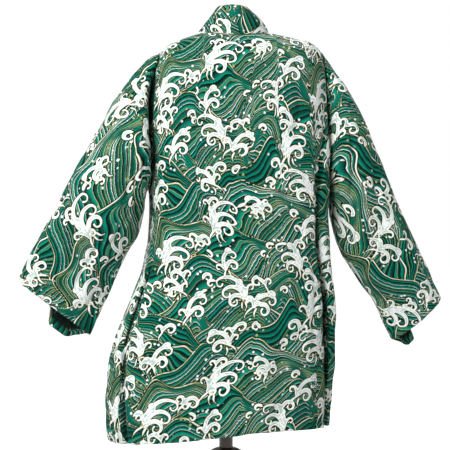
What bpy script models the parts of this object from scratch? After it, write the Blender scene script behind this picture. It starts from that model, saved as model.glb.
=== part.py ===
"""Haori jacket on a limbless table-top dress form.

Metres, +Z up. The origin is on the table, at the middle of the stand's underside. The form faces -Y
and the wearer's left is +X. Every cloth piece is an open sheet of its outer face, thickened inwards.

A body section is one closed oval. A place on it is a turn: 0 at the wearer's left side, 90 degrees
at the centre back, 180 at the right side and -90 at the centre front.
"""

import math

import bmesh
import bpy
import numpy as np

# Cloth
WALL = 0.002
BAND_WALL = 0.003  # the collar band is folded double
SEAM = 0.00020  # each edge stops this short of its seam
ARMHOLE_SEAM = 0.0007  # the sleeves start this far outside the panels' own edges
RIDGE_SEAM = 0.0005  # the same along the shoulders and neck, where the inner faces close up

# Jacket
LIP_START = {"left": 0.12, "right": -0.02}  # how far up the cuff its front layer starts to hang lower
LIP_RISE = 0.30
LIP_FALL = 0.45
ARMHOLE_FADE = (0.30, 0.06, 0.10)  # how far along a sleeve the armhole's own shape fades out, in X, Y, Z
UNDERARM_Z = 0.566
ARMHOLE_RISE = 0.100  # how far above the underarm the armhole reaches its full depth
NECK_X = -0.014
NECK_SHIFT_Z = (0.3, 0.7)  # the front edges move from the middle to the neck's place between these heights
NECK_HALF_WIDTH = 0.069
NECK_BACK_SHARE = 0.66  # the neckline's depth, as a share of the back's
CAP_POWER = 2.5  # how squarely the shoulders round over
CORNER_BLEND = 0.3  # half the width, in cosines of the turn, over which left and right corners blend
SIDE_OF_MIDDLE = 0.5  # a turn this far from the middle, in radians, takes one side's corner alone
BAND_WIDTH = 0.060
BAND_LEAN = 0.012  # at the centre back the band's free edge leans towards the left

# Stand
BASE_RADIUS = 0.150
BASE_HEIGHT = 0.024
BASE_EDGE = 0.008
FOOT_CHAMFER = 0.002
HUB_RADIUS = 0.050
HUB_HEIGHT = 0.052
HUB_CROWN = 0.003  # the dome's flat crown is this much wider than the pole
HUB_RIM = 0.2  # its upright rim, as a share of its height
POLE_RADIUS = 0.013
GAP = 0.0003
FORM_X = -0.008
FORM_CAP = 0.072
FORM_SHOULDER_DROP = 0.012
FORM_NECK_DROP = 0.003  # the neckline's band is thicker than the panels, so the form is lower there
FORM_DROP_POWER = 12  # how near the shoulders' ends that drop starts
FORM_CLEARANCE = 0.0005  # between the form's shoulders and the cloth's inner face
NECK_ZONE = 0.018  # that lower place runs this far past the neckline's ends
NECK_ZONE_FADE = 0.020
NECK_RADIUS = 0.041
NECK_FLARE = 0.006  # the neck's foot is this much wider
NECK_LENGTH = 0.070
NECK_TOP_Z = 0.869
NECK_CAP_HEIGHT = 0.007
NECK_CAP_EDGE = 0.003

# Mesh density
BACK_COLUMNS = 34
FRONT_COLUMNS = 12
EVEN_Z = 0.450  # the panels' columns are evenly spaced at this height
DENSE_STEPS = 240  # points along a line that is being measured
LOWER_ROWS = 12
UPPER_ROWS = 16
SLEEVE_RINGS = 22
BAND_COLUMNS = 4
FORM_TURNS = 36
FORM_ROWS = 10
FORM_CAP_TURNS = (0, 14, 28, 42, 54, 65, 74, 81, 86.5)
TURNED_STEPS = 36
POLE_SIDES = 32
ROUNDED_STEPS = 5
DOME_STEPS = 8
RING_SPACING = 1.25  # over 1 packs the sleeves' rings closer towards the armhole
HEIGHT_PASSES = 4


def table(columns, *rows):
    """Named columns of a short table. The first column is the one that the others are read against."""
    return dict(zip(columns.split(), np.array(rows, float).T))


# The body's sections. left and right are how far the oval reaches along +X and -X, back and front
# how deep it is. The corner powers say how square it is on each side. seam_left and seam_right are
# the side seams' places along Y, and open_left and open_right the armholes' half depths.
BODY = table(
    "z left right back front corner_left corner_right seam_left seam_right open_left open_right",
    (0.090, 0.224, 0.193, 0.104, 0.122, 2.3, 2.3, 0.046, 0.024, 0.045, 0.034),
    (0.130, 0.228, 0.196, 0.104, 0.124, 2.3, 2.3, 0.048, 0.024, 0.045, 0.034),
    (0.223, 0.224, 0.204, 0.101, 0.124, 2.3, 2.4, 0.050, 0.024, 0.045, 0.034),
    (0.290, 0.210, 0.207, 0.099, 0.122, 2.3, 2.5, 0.050, 0.022, 0.045, 0.034),
    (0.356, 0.182, 0.208, 0.097, 0.120, 2.4, 2.6, 0.046, 0.018, 0.045, 0.034),
    (0.430, 0.153, 0.200, 0.095, 0.120, 2.8, 2.7, 0.032, 0.010, 0.045, 0.034),
    (0.500, 0.144, 0.196, 0.094, 0.121, 3.2, 2.8, 0.012, 0.002, 0.045, 0.034),
    (0.566, 0.144, 0.197, 0.094, 0.122, 3.6, 2.8, 0.002, 0.000, 0.045, 0.034),
    (0.641, 0.150, 0.198, 0.094, 0.120, 3.8, 2.8, 0.000, 0.000, 0.045, 0.034),
    (0.736, 0.150, 0.194, 0.092, 0.108, 3.8, 2.8, 0.000, 0.000, 0.045, 0.034),
    (0.790, 0.140, 0.190, 0.090, 0.098, 3.8, 2.8, 0.000, 0.000, 0.045, 0.034),
    (0.830, 0.132, 0.186, 0.088, 0.090, 3.6, 2.8, 0.000, 0.000, 0.045, 0.034),
)

# The shoulder line's height, and how deep the cloth rounds over below it, across the body.
RIDGE = table(
    "across z cap",
    (-1.00, 0.830, 0.080),
    (-0.90, 0.843, 0.085),
    (-0.60, 0.856, 0.085),
    (-0.38, 0.862, 0.085),
    (0.10, 0.866, 0.085),
    (0.55, 0.857, 0.085),
    (0.78, 0.843, 0.080),
    (0.90, 0.832, 0.075),
    (1.00, 0.815, 0.070),
)

HEM = table("x z", (-0.200, 0.115), (-0.100, 0.118), (0.0, 0.1165), (0.150, 0.105), (0.230, 0.096))

# The front edges: where each panel ends and the band begins, and where the band ends.
FRONT_EDGE = table(
    "z panel band",
    (0.090, 0.118, 0.056),
    (0.300, 0.108, 0.047),
    (0.560, 0.092, 0.032),
    (0.700, 0.084, 0.024),
    (0.780, 0.078, 0.020),
    (0.830, 0.073, 0.022),
    (0.866, 0.069, 0.030),
)

# Folds of the body: a trough (or, with a negative depth, a soft ridge) from top to bottom.
# turn_top and turn_bottom are in degrees.
BODY_FOLDS = table(
    "turn_top turn_bottom top bottom depth half_width",
    (139, 148, 0.800, 0.120, 0.0070, 0.020),  # from the right shoulder down
    (52, 46, 0.340, 0.080, 0.0050, 0.022),
    (84, 80, 0.300, 0.080, 0.0035, 0.024),
    (112, 116, 0.330, 0.080, 0.0040, 0.022),
    (-24, -22, 0.520, 0.080, 0.0045, 0.020),
    (-43, -41, 0.640, 0.080, 0.0060, 0.020),
    (-140, -142, 0.620, 0.080, 0.0060, 0.020),
    (-160, -162, 0.500, 0.080, 0.0045, 0.020),
)

FOLD_FADE = 3.0  # a fold reaches its depth over this part of its length, one third, from each end

# The sleeves' sections, from the armhole to the cuff: the upper and lower edges of the outline, the
# half depth towards the back and the front, and how far the front layer runs past the back one.
SLEEVES = {
    "left": table(
        "along upper_x upper_z lower_x lower_z back front overrun",
        (0.00, 0.133, 0.812, 0.1455, 0.570, 0.045, 0.045, 0.000),
        (0.03, 0.147, 0.807, 0.1475, 0.569, 0.066, 0.066, 0.000),
        (0.08, 0.166, 0.790, 0.1490, 0.567, 0.078, 0.074, 0.000),
        (0.15, 0.187, 0.767, 0.1510, 0.564, 0.081, 0.078, 0.000),
        (0.25, 0.217, 0.724, 0.1530, 0.559, 0.080, 0.080, 0.002),
        (0.36, 0.243, 0.676, 0.1550, 0.547, 0.077, 0.078, 0.004),
        (0.48, 0.276, 0.617, 0.1590, 0.519, 0.070, 0.072, 0.008),
        (0.61, 0.309, 0.556, 0.1700, 0.478, 0.058, 0.060, 0.012),
        (0.74, 0.341, 0.495, 0.1940, 0.435, 0.046, 0.048, 0.016),
        (0.87, 0.368, 0.443, 0.2260, 0.366, 0.034, 0.036, 0.020),
        (1.00, 0.392, 0.395, 0.2580, 0.294, 0.022, 0.024, 0.030),
    ),
    "right": table(
        "along upper_x upper_z lower_x lower_z back front overrun",
        (0.00, 0.186, 0.833, 0.1970, 0.566, 0.034, 0.034, 0.000),
        (0.03, 0.195, 0.821, 0.1985, 0.565, 0.046, 0.046, 0.000),
        (0.08, 0.211, 0.798, 0.2000, 0.562, 0.062, 0.060, 0.000),
        (0.15, 0.233, 0.768, 0.2020, 0.555, 0.072, 0.068, 0.000),
        (0.25, 0.259, 0.723, 0.2050, 0.541, 0.074, 0.072, 0.002),
        (0.36, 0.285, 0.663, 0.2080, 0.520, 0.072, 0.072, 0.004),
        (0.48, 0.312, 0.602, 0.2130, 0.489, 0.068, 0.068, 0.008),
        (0.61, 0.342, 0.534, 0.2280, 0.445, 0.060, 0.062, 0.012),
        (0.74, 0.372, 0.471, 0.2590, 0.398, 0.052, 0.054, 0.016),
        (0.87, 0.402, 0.411, 0.2930, 0.351, 0.046, 0.048, 0.026),
        (1.00, 0.428, 0.357, 0.3280, 0.276, 0.042, 0.044, 0.042),
    ),
}

# Folds of the sleeves: where along the sleeve and how far round it each starts and ends.
# A turn of 0 is the upper edge, 90 the back and -90 the front.
SLEEVE_FOLDS = {
    "left": table(
        "along_start turn_start along_end turn_end depth half_width",
        (0.14, 62, 0.44, 112, 0.0070, 0.028),
        (0.36, 40, 0.70, 96, 0.0055, 0.026),
        (0.20, -64, 0.54, -116, 0.0070, 0.028),
        (0.48, -56, 0.92, -92, 0.0055, 0.026),
    ),
    "right": table(
        "along_start turn_start along_end turn_end depth half_width",
        (0.10, 66, 0.44, 122, 0.0070, 0.028),
        (0.32, 44, 0.72, 104, 0.0065, 0.026),
        (0.18, -64, 0.52, -118, 0.0070, 0.028),
        (0.46, -56, 0.92, -92, 0.0055, 0.026),
    ),
}

# The band's stand round the neck, from the centre back (0) to the neck point (1) and down the front
# until it lies on the chest (2): where its free edge is from its seam, and how far its middle bows out.
BAND_STAND = table(
    "station inward forward up bow",
    (0.00, 0.000, 0.008, 0.058, 0.003),
    (0.25, 0.004, 0.014, 0.055, 0.004),
    (0.50, 0.016, 0.018, 0.047, 0.005),
    (0.75, 0.028, 0.012, 0.040, 0.005),
    (1.00, 0.038, 0.006, 0.034, 0.005),
    (1.40, 0.052, 0.006, 0.020, 0.003),
    (2.00, 0.060, 0.000, 0.000, 0.000),
)
NECK_END = 0.99  # from here out, as a share of the neck's half width, the stations are the fronts'
BAND_LIES_Z = 0.775  # below this the band lies in the front's own surface

# The form: half width and depths of its sections.
FORM = table(
    "z half back front",
    (0.205, 0.118, 0.060, 0.062),
    (0.240, 0.138, 0.074, 0.072),
    (0.330, 0.150, 0.080, 0.080),
    (0.430, 0.136, 0.072, 0.078),
    (0.520, 0.122, 0.066, 0.080),
    (0.620, 0.134, 0.074, 0.096),
    (0.700, 0.140, 0.080, 0.100),
    (0.780, 0.138, 0.082, 0.088),
    (0.850, 0.128, 0.078, 0.078),
)
FORM_POWER = 2.5
FORM_BOTTOM_Z = FORM["z"][0]

COLOURS = {
    "print_cotton": (0.032, 0.125, 0.095, 1.0),
    "linen": (0.62, 0.56, 0.46, 1.0),
    "dark_wood": (0.055, 0.026, 0.014, 1.0),
}
ROUGHNESS = {"print_cotton": 0.72, "linen": 0.88, "dark_wood": 0.38}


def read(source, column, at):
    """A column of a table at any place: a smooth curve through its rows, level past its ends."""
    knots = next(iter(source.values()))
    values = source[column]
    slopes = np.gradient(values, knots)
    at = np.clip(np.asarray(at, float), knots[0], knots[-1])
    i = np.clip(np.searchsorted(knots, at, side="right") - 1, 0, len(knots) - 2)
    span = knots[i + 1] - knots[i]
    t = (at - knots[i]) / span
    return (
        (2 * t**3 - 3 * t**2 + 1) * values[i]
        + (t**3 - 2 * t**2 + t) * span * slopes[i]
        + (3 * t**2 - 2 * t**3) * values[i + 1]
        + (t**3 - t**2) * span * slopes[i + 1]
    )


def signed_power(value, power):
    return np.sign(value) * np.abs(value) ** power


def ease(t):
    t = np.clip(t, 0.0, 1.0)
    return t * t * (3 - 2 * t)


def corner(turn, z):
    """How square the oval is: each side has its own power, and they blend across the middle."""
    left = read(BODY, "corner_left", z)
    right = read(BODY, "corner_right", z)
    share = ease((np.cos(turn) + CORNER_BLEND) / (2 * CORNER_BLEND))
    return right + (left - right) * share


def across(turn, z):
    """-1 at the right side, 1 at the left."""
    return signed_power(np.cos(turn), 2 / corner(turn, z))


def cap(share, z):
    """How much of the body's depth is left as the cloth rounds over to the shoulder line."""
    ridge = read(RIDGE, "z", share)
    depth = read(RIDGE, "cap", share)
    q = np.clip((z - (ridge - depth)) / depth, 0.0, 1.0)
    return (1 - q**CAP_POWER) ** (1 / CAP_POWER)


def body_folds(turn, z, width):
    """How far the folds move the cloth in."""
    total = np.zeros(np.broadcast(turn, z).shape)
    names = ("turn_top", "turn_bottom", "top", "bottom", "depth", "half_width")
    for turn_top, turn_bottom, top, bottom, depth, half_width in zip(*(BODY_FOLDS[n] for n in names)):
        t = (z - bottom) / (top - bottom)
        line = np.radians(turn_bottom + (turn_top - turn_bottom) * np.clip(t, 0, 1))
        fade = ease((1 - t) * FOLD_FADE) * np.where(bottom <= HEM["z"][-1], 1.0, ease(t * FOLD_FADE))
        away = np.angle(np.exp(1j * (turn - line))) * width / half_width
        total = total + depth * fade * np.exp(-(away**2))
    return total


def body(turn, z):
    """The point of the jacket's outer face at a turn and a height."""
    turn, z = np.broadcast_arrays(np.asarray(turn, float), np.asarray(z, float))
    left = read(BODY, "left", z)
    right = read(BODY, "right", z)
    share = across(turn, z)
    depth = np.where(np.sin(turn) > 0, read(BODY, "back", z), read(BODY, "front", z))
    half = (left + right) / 2
    dip = body_folds(turn, z, half)
    x = (left - right) / 2 + (half - dip) * share
    y = (depth - dip) * signed_power(np.sin(turn), 2 / corner(turn, z)) * cap(share, z)
    return np.stack([x, y, z], axis=-1)


def turn_at_y(y, side, z):
    """The turn at which the oval, before it rounds over, has this Y on the given side."""
    depth = np.where(y > 0, read(BODY, "back", z), read(BODY, "front", z))
    power = read(BODY, "corner_" + side, z)
    turn = np.sign(y) * np.arcsin(np.clip(np.abs(y) / depth, 0, 1) ** (power / 2))
    return turn if side == "left" else math.pi - turn


def edge_turn(side, face, z):
    """The turn of a panel's side edge: its side seam, and above the underarm the armhole."""
    opened = np.sqrt(1 - (1 - np.clip((z - UNDERARM_Z) / ARMHOLE_RISE, 0, 1)) ** 2)
    seam = read(BODY, "seam_" + side, z)
    depth = read(BODY, "open_" + side, z)
    y = seam + (depth - seam) * opened if face == "back" else seam - (depth + seam) * opened
    return turn_at_y(y, side, z)


def front_turn(side, column, z):
    """The turn of a front edge, from the distance of that edge from the centre."""
    sign = 1 if side == "left" else -1
    left = read(BODY, "left", z)
    right = read(BODY, "right", z)
    low, high = NECK_SHIFT_Z
    x = sign * read(FRONT_EDGE, column, z) + NECK_X * ease((z - low) / (high - low))
    share = (x - (left - right) / 2) / ((left + right) / 2)
    return -np.arccos(signed_power(share, corner(-math.pi / 2 + sign * SIDE_OF_MIDDLE, z) / 2))


def neckline_drop(share):
    """1 minus the share of the cap that the back neckline cuts off, for a place across the body."""
    x = across_to_x(share)
    inside = np.clip(1 - ((x - NECK_X) / NECK_HALF_WIDTH) ** 2, 0, 1)
    kept = NECK_BACK_SHARE * np.sqrt(inside)
    return (1 - kept**CAP_POWER) ** (1 / CAP_POWER)


def across_to_x(share):
    top = RIDGE["z"].max()
    left = read(BODY, "left", top)
    right = read(BODY, "right", top)
    return (left - right) / 2 + share * (left + right) / 2


def x_to_across(x):
    return (x - across_to_x(0.0)) / (across_to_x(1.0) - across_to_x(0.0))


def column_heights(share, neckline):
    """The heights of a column's rows, from the hem to the shoulder line or the neckline."""
    ridge = read(RIDGE, "z", share)
    depth = read(RIDGE, "cap", share)
    top = ridge - depth * (1 - neckline_drop(share)) if neckline else ridge
    hem = read(HEM, "z", hem_x(share))
    lower = hem + (UNDERARM_Z - hem) * np.linspace(0, 1, LOWER_ROWS + 1)
    turns = np.linspace(0, math.pi, UPPER_ROWS + 1)[1:]
    upper = UNDERARM_Z + (top - UNDERARM_Z) * (1 - np.cos(turns)) / 2
    return np.concatenate([lower, upper])


def hem_x(share):
    low = BODY["z"][0]
    left = read(BODY, "left", low)
    right = read(BODY, "right", low)
    return (left - right) / 2 + share * (left + right) / 2


def panel(first_turn, last_turn, shares, neckline):
    """Columns of points between two edges. shares says how far along from one edge to the other."""
    columns = []
    for share in shares:
        across_share = np.array(share, float)
        z = np.full(LOWER_ROWS + UPPER_ROWS + 1, UNDERARM_Z)
        for _ in range(HEIGHT_PASSES):  # the heights depend on the place across, and that on the heights
            turn = first_turn(z) + (last_turn(z) - first_turn(z)) * across_share
            z = column_heights(float(across(turn, z)[-1]), neckline)
        turn = first_turn(z) + (last_turn(z) - first_turn(z)) * across_share
        columns.append(body(turn, z))
    return np.array(columns)


def spaced(first_turn, last_turn, stops, count):
    """Shares of the way between two edges that include each stop, evenly spaced along the cloth."""
    shares = np.linspace(0, 1, DENSE_STEPS)
    low, high = first_turn(EVEN_Z), last_turn(EVEN_Z)
    steps = np.diff(body(low + (high - low) * shares, EVEN_Z), axis=0)
    lengths = np.concatenate([[0.0], np.cumsum(np.linalg.norm(steps, axis=-1))])
    lengths = lengths / lengths[-1]
    edges = [0.0, *np.interp(stops, shares, lengths), 1.0]
    pieces = []
    for low, high in zip(edges[:-1], edges[1:]):
        parts = max(1, round(count * (high - low)))
        pieces.append(np.linspace(low, high, parts, endpoint=False))
    return np.interp(np.concatenate([*pieces, [1.0]]), lengths, shares)


def back_points():
    """From the left edge to the right one, with a column at each end of the neckline."""
    top = RIDGE["z"].max()

    def first(z):
        return edge_turn("left", "back", z)

    def last(z):
        return edge_turn("right", "back", z)

    stops = []
    for side in (1, -1):
        share = x_to_across(NECK_X + side * NECK_HALF_WIDTH)
        turn = np.arccos(signed_power(share, corner(math.pi / 2 - side * SIDE_OF_MIDDLE, top) / 2))
        stops.append(float((turn - first(top)) / (last(top) - first(top))))
    return panel(first, last, spaced(first, last, stops, BACK_COLUMNS), neckline=True)


def front_points(side):
    """From the side edge to the front edge."""
    whole = 2 * math.pi if side == "right" else 0

    def first(z):
        return edge_turn(side, "front", z) - whole

    def last(z):
        return front_turn(side, "panel", z)

    return panel(first, last, spaced(first, last, [], FRONT_COLUMNS), neckline=False)


def armhole_loop(back, front):
    """The armhole's points, from the underarm up the back edge to the shoulder and down the front."""
    up = back[LOWER_ROWS:]
    down = front[LOWER_ROWS + 1 : -1][::-1]
    return np.concatenate([up, down])


def sleeve_points(side, loop):
    """Rings of points from the armhole to the cuff. The first is the armhole's own."""
    low, high = loop[:, 2].min(), loop[:, 2].max()
    level = np.clip(2 * (loop[:, 2] - low) / (high - low) - 1, -1, 1)
    front = np.arange(len(loop)) > UPPER_ROWS
    turn = np.arccos(level) * np.where(front, -1, 1)
    start = loop + [ARMHOLE_SEAM if side == "left" else -ARMHOLE_SEAM, 0, 0]
    own_shape = start - sleeve_ring(side, turn, front, 0.0)
    rings = []
    for along in np.linspace(0, 1, SLEEVE_RINGS + 1) ** RING_SPACING:
        fade = 1 - ease(along / np.array(ARMHOLE_FADE))
        rings.append(sleeve_ring(side, turn, front, along) + own_shape * fade)
    return np.array(rings)


def sleeve_ring(side, turn, front, along):
    """One section of the sleeve, without the armhole's own shape."""
    sign = 1 if side == "left" else -1
    sections = SLEEVES[side]
    upper = np.array([sign * read(sections, "upper_x", along), 0, read(sections, "upper_z", along)])
    lower = np.array([sign * read(sections, "lower_x", along), 0, read(sections, "lower_z", along)])
    reach = (upper - lower) / 2
    radius = np.linalg.norm(reach)
    outward = np.array([sign * reach[2], 0, -sign * reach[0]]) / radius
    depth = np.where(front, read(sections, "front", along), read(sections, "back", along))
    dip = sleeve_folds(side, turn, along, radius)
    hang = front * lip(side, np.cos(turn)) * read(sections, "overrun", along)
    return (
        (upper + lower) / 2
        + np.outer(np.cos(turn) * (1 - dip / radius), reach)
        + np.outer(np.sin(turn) * (depth - dip), [0, 1, 0])
        + np.outer(hang, outward)
    )


def lip(side, level):
    """Where the cuff's front layer hangs lower: over its lower half, level being 1 at the upper edge."""
    return ease((LIP_START[side] - level) / LIP_RISE) * ease((1 + level) / LIP_FALL)


def sleeve_folds(side, turn, along, radius):
    """How far the folds move the sleeve's cloth in."""
    folds = SLEEVE_FOLDS[side]
    total = np.zeros(len(turn))
    names = ("along_start", "turn_start", "along_end", "turn_end", "depth", "half_width")
    for start, turn_start, end, turn_end, depth, half_width in zip(*(folds[n] for n in names)):
        t = (along - start) / (end - start)
        if not 0 < t < 1:
            continue
        line = math.radians(turn_start + (turn_end - turn_start) * t)
        fade = ease(t * FOLD_FADE) * ease((1 - t) * FOLD_FADE)
        away = np.angle(np.exp(1j * (turn - line))) * radius / half_width
        total = total + depth * fade * np.exp(-(away**2))
    return total


def trimmed(columns, sides, top):
    """The sheet with its first and last columns moved in by the seam gap, and its last row down."""
    columns = columns.copy()
    for edge, inner in ((0, 1), (-1, -2)):
        step = columns[inner] - columns[edge]
        columns[edge] += step * (sides / np.linalg.norm(step, axis=-1))[:, None]
    step = columns[:, -2] - columns[:, -1]
    columns[:, -1] += step * (top / np.linalg.norm(step, axis=-1))[:, None]
    return columns


def cloth(name, points, finish, wall, closed=False):
    """An object with a face for each cell of a grid of points, thickened inwards."""
    count, rows = points.shape[:2]
    mesh = bmesh.new()
    verts = [[mesh.verts.new(p) for p in line] for line in points]
    for i in range(count - 1):
        for j in range(rows if closed else rows - 1):
            k = (j + 1) % rows
            mesh.faces.new((verts[i][j], verts[i + 1][j], verts[i + 1][k], verts[i][k]))
    data = bpy.data.meshes.new(name)
    mesh.to_mesh(data)
    mesh.free()
    data.materials.append(finish)
    data.shade_smooth()
    made = bpy.data.objects.new(name, data)
    solidify = made.modifiers.new("wall", "SOLIDIFY")
    solidify.thickness = wall
    solidify.offset = -1
    collection.objects.link(made)
    return made


def finish_of(name):
    made = bpy.data.materials.new(name)
    made.use_nodes = True
    shader = made.node_tree.nodes["Principled BSDF"]
    shader.inputs["Base Color"].default_value = COLOURS[name]
    shader.inputs["Roughness"].default_value = ROUGHNESS[name]
    shader.inputs["Metallic"].default_value = 0.0
    return made


def collar_points(back, fronts):
    """The band from the left hem, up that front edge, round the neck and down to the right hem.

    Its stations are the panels' own points, so that the seams meet.
    """
    widths = np.linspace(2 * SEAM / BAND_WIDTH, 1, BAND_COLUMNS + 1)
    top = {side: front[-1, -1, 2] for side, front in fronts.items()}
    left = [front_station("left", base, top["left"], widths) for base in fronts["left"][-1]]
    right = [front_station("right", base, top["right"], widths) for base in fronts["right"][-1][::-1]]
    places = (back[:, -1, 0] - NECK_X) / NECK_HALF_WIDTH
    neck = [
        standing(base, 2 / math.pi * math.asin(abs(place)), math.copysign(1, place), widths)
        for base, place in zip(back[:, -1], places)
        if abs(place) < NECK_END
    ]
    return np.array([*left, *neck, *right])


def front_station(side, base, top, widths):
    """Points across the band at a front edge: standing at the neck, top, and flat on the chest."""
    sign = 1 if side == "left" else -1
    station = 1 + min((top - base[2]) / (top - BAND_LIES_Z), 1.0)
    first, last = (front_turn(side, column, base[2]) for column in ("panel", "band"))
    lying = body(first + (last - first) * widths, base[2])
    share = ease(station - 1)
    return standing(base, station, sign, widths) * (1 - share) + lying * share


def standing(base, station, sign, widths):
    """Points across the band where it stands up from its seam."""
    names = ("inward", "forward", "up", "bow")
    inward, forward, up, bow = (read(BAND_STAND, name, station) for name in names)
    lean = BAND_LEAN * (1 - ease(station))
    cross = np.array([lean - sign * inward, -forward, up])
    angle = math.pi / 2 * min(station, 1.0)
    outward = np.array([sign * math.sin(angle) * up, math.cos(angle) * up, inward])
    outward = outward / np.linalg.norm(outward)
    return base + np.outer(widths, cross) + np.outer(bow * np.sin(widths * math.pi), outward)


def form_points():
    """Rings of the form's torso, from its flat bottom to its shoulder line."""
    turns = np.linspace(0, 2 * math.pi, FORM_TURNS, endpoint=False)
    share = signed_power(np.cos(turns), 2 / FORM_POWER)
    x_top = FORM_X + read(FORM, "half", 1.0) * share
    in_neck = ease((NECK_HALF_WIDTH + NECK_ZONE - np.abs(x_top - NECK_X)) / NECK_ZONE_FADE)
    ridge = read(RIDGE, "z", x_to_across(x_top)) - WALL - FORM_CLEARANCE
    ridge = ridge - FORM_SHOULDER_DROP * np.abs(share) ** FORM_DROP_POWER - FORM_NECK_DROP * in_neck
    height = ridge - FORM_CAP - FORM_BOTTOM_Z
    lower = [FORM_BOTTOM_Z + height * t for t in np.linspace(0, 1, FORM_ROWS, endpoint=False)]
    turned_over = np.radians(FORM_CAP_TURNS)
    upper = [ridge - FORM_CAP * (1 - math.sin(a)) for a in turned_over]
    kept = [1.0] * FORM_ROWS + [math.cos(a) for a in turned_over]
    rings = []
    for z, share_kept in zip(lower + upper, kept):
        depth = np.where(np.sin(turns) > 0, read(FORM, "back", z), read(FORM, "front", z))
        x = FORM_X + read(FORM, "half", z) * share
        y = depth * signed_power(np.sin(turns), 2 / FORM_POWER) * share_kept
        rings.append(np.stack([x, y, z], axis=-1))
    return np.array(rings)


def torso(points, linen):
    """The form as one closed solid: its rings, a flat bottom, and a bridge over the shoulder line."""
    rings, count = points.shape[:2]
    mesh = bmesh.new()
    verts = [[mesh.verts.new(p) for p in ring] for ring in points]
    for i in range(rings - 1):
        for j in range(count):
            k = (j + 1) % count
            mesh.faces.new((verts[i][j], verts[i][k], verts[i + 1][k], verts[i + 1][j]))
    mesh.faces.new(verts[0][::-1])
    top = verts[-1]
    for j in range(count // 2):
        corners = (top[j], top[j + 1], top[(count - j - 1) % count], top[(count - j) % count])
        mesh.faces.new(list(dict.fromkeys(corners)))
    data = bpy.data.meshes.new("form_torso")
    mesh.to_mesh(data)
    mesh.free()
    data.materials.append(linen)
    data.shade_smooth()
    made = bpy.data.objects.new("form_torso", data)
    collection.objects.link(made)
    return made


def turned(name, profile, finish, place=(0, 0, 0)):
    """A turned solid. The profile runs down its outer side, as (radius, height) pairs."""
    data = bpy.data.meshes.new(name)
    points = [(radius, 0, height) for radius, height in profile]
    data.from_pydata(points, [(i, i + 1) for i in range(len(points) - 1)], [])
    data.materials.append(finish)
    made = bpy.data.objects.new(name, data)
    made.location = place
    screw = made.modifiers.new("turn", "SCREW")
    screw.steps = screw.render_steps = TURNED_STEPS
    screw.use_merge_vertices = True
    screw.merge_threshold = 1e-5
    screw.use_smooth_shade = True
    collection.objects.link(made)
    return made


def rounded(radius, low, high, edge):
    """A disc's profile with its upper edge rounded."""
    arc = [
        (radius - edge + edge * math.sin(a), high - edge + edge * math.cos(a))
        for a in np.linspace(0, math.pi / 2, ROUNDED_STEPS)
    ]
    return [(0, high), *arc, (radius, low + FOOT_CHAMFER), (radius - FOOT_CHAMFER, low), (0, low)]


def dome(radius, low, high, crown):
    """A dome's profile with a flat crown, on a short upright rim."""
    rim = HUB_RIM * (high - low)
    first = math.asin(crown / radius)
    arc = [
        (radius * math.sin(a), low + rim + (high - low - rim) * (math.cos(a) / math.cos(first)))
        for a in np.linspace(first, math.pi / 2, DOME_STEPS)
    ]
    return [(0, high), *arc, (radius, low), (0, low)]


def build_jacket(cotton):
    back = back_points()
    fronts = {side: front_points(side) for side in ("left", "right")}
    back_edges = {"left": back[0], "right": back[-1]}
    cloth("back_panel", trimmed(back, SEAM, RIDGE_SEAM), cotton, WALL)
    for side, front in fronts.items():
        rings = sleeve_points(side, armhole_loop(back_edges[side], front[0]))
        panel_points = trimmed(front, SEAM, RIDGE_SEAM)
        if side == "left":  # the left side runs the other way round, and its faces must still look out
            panel_points, rings = panel_points[::-1], rings[::-1]
        cloth("front_panel_" + side, panel_points, cotton, WALL)
        cloth("sleeve_" + side, rings, cotton, WALL, closed=True)
    cloth("collar_band", collar_points(back, fronts), cotton, BAND_WALL)


def build_form(linen, wood):
    """The torso with its neck, and the wooden cap on the neck."""
    form = torso(form_points(), linen)
    foot = NECK_TOP_Z - NECK_LENGTH
    profile = [(0, NECK_TOP_Z), (NECK_RADIUS, NECK_TOP_Z), (NECK_RADIUS + NECK_FLARE, foot), (0, foot)]
    neck = turned("neck_blank", profile, linen, (FORM_X, 0, 0))
    neck.hide_render = True
    neck.display_type = "WIRE"
    join = form.modifiers.new("neck", "BOOLEAN")
    join.operation = "UNION"
    join.object = neck
    low = NECK_TOP_Z + GAP
    profile = rounded(NECK_RADIUS, low, low + NECK_CAP_HEIGHT, NECK_CAP_EDGE)
    turned("neck_cap", profile, wood, (FORM_X, 0, 0))


def build_stand(wood):
    turned("stand_base", rounded(BASE_RADIUS, 0, BASE_HEIGHT, BASE_EDGE), wood)
    low = BASE_HEIGHT + GAP
    high = low + HUB_HEIGHT
    turned("pole_hub", dome(HUB_RADIUS, low, high, POLE_RADIUS + HUB_CROWN), wood)
    low, high = high + GAP, FORM_BOTTOM_Z - GAP
    bpy.ops.mesh.primitive_cylinder_add(
        vertices=POLE_SIDES, radius=POLE_RADIUS, depth=high - low, location=(0, 0, (low + high) / 2)
    )
    pole = bpy.context.object
    pole.name = "pole"
    pole.data.materials.append(wood)
    for owner in list(pole.users_collection):
        owner.objects.unlink(pole)
    collection.objects.link(pole)


for old in list(bpy.data.objects):
    bpy.data.objects.remove(old, do_unlink=True)
collection = bpy.data.collections.new("haori_jacket_on_dress_form")
bpy.context.scene.collection.children.link(collection)
finishes = {name: finish_of(name) for name in COLOURS}
build_jacket(finishes["print_cotton"])
build_form(finishes["linen"], finishes["dark_wood"])
build_stand(finishes["dark_wood"])
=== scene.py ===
"""Haori jacket on its dress form: cloth, print, linen, wood, studio.

Metres, in the frame's own axes. The form faces -Y and the wearer's left is +X.
A body section is one closed oval. A place on it is a turn: 0 at the wearer's left side, 90 degrees
at the centre back, 180 at the right side and -90 at the centre front.
"""

import math

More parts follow.
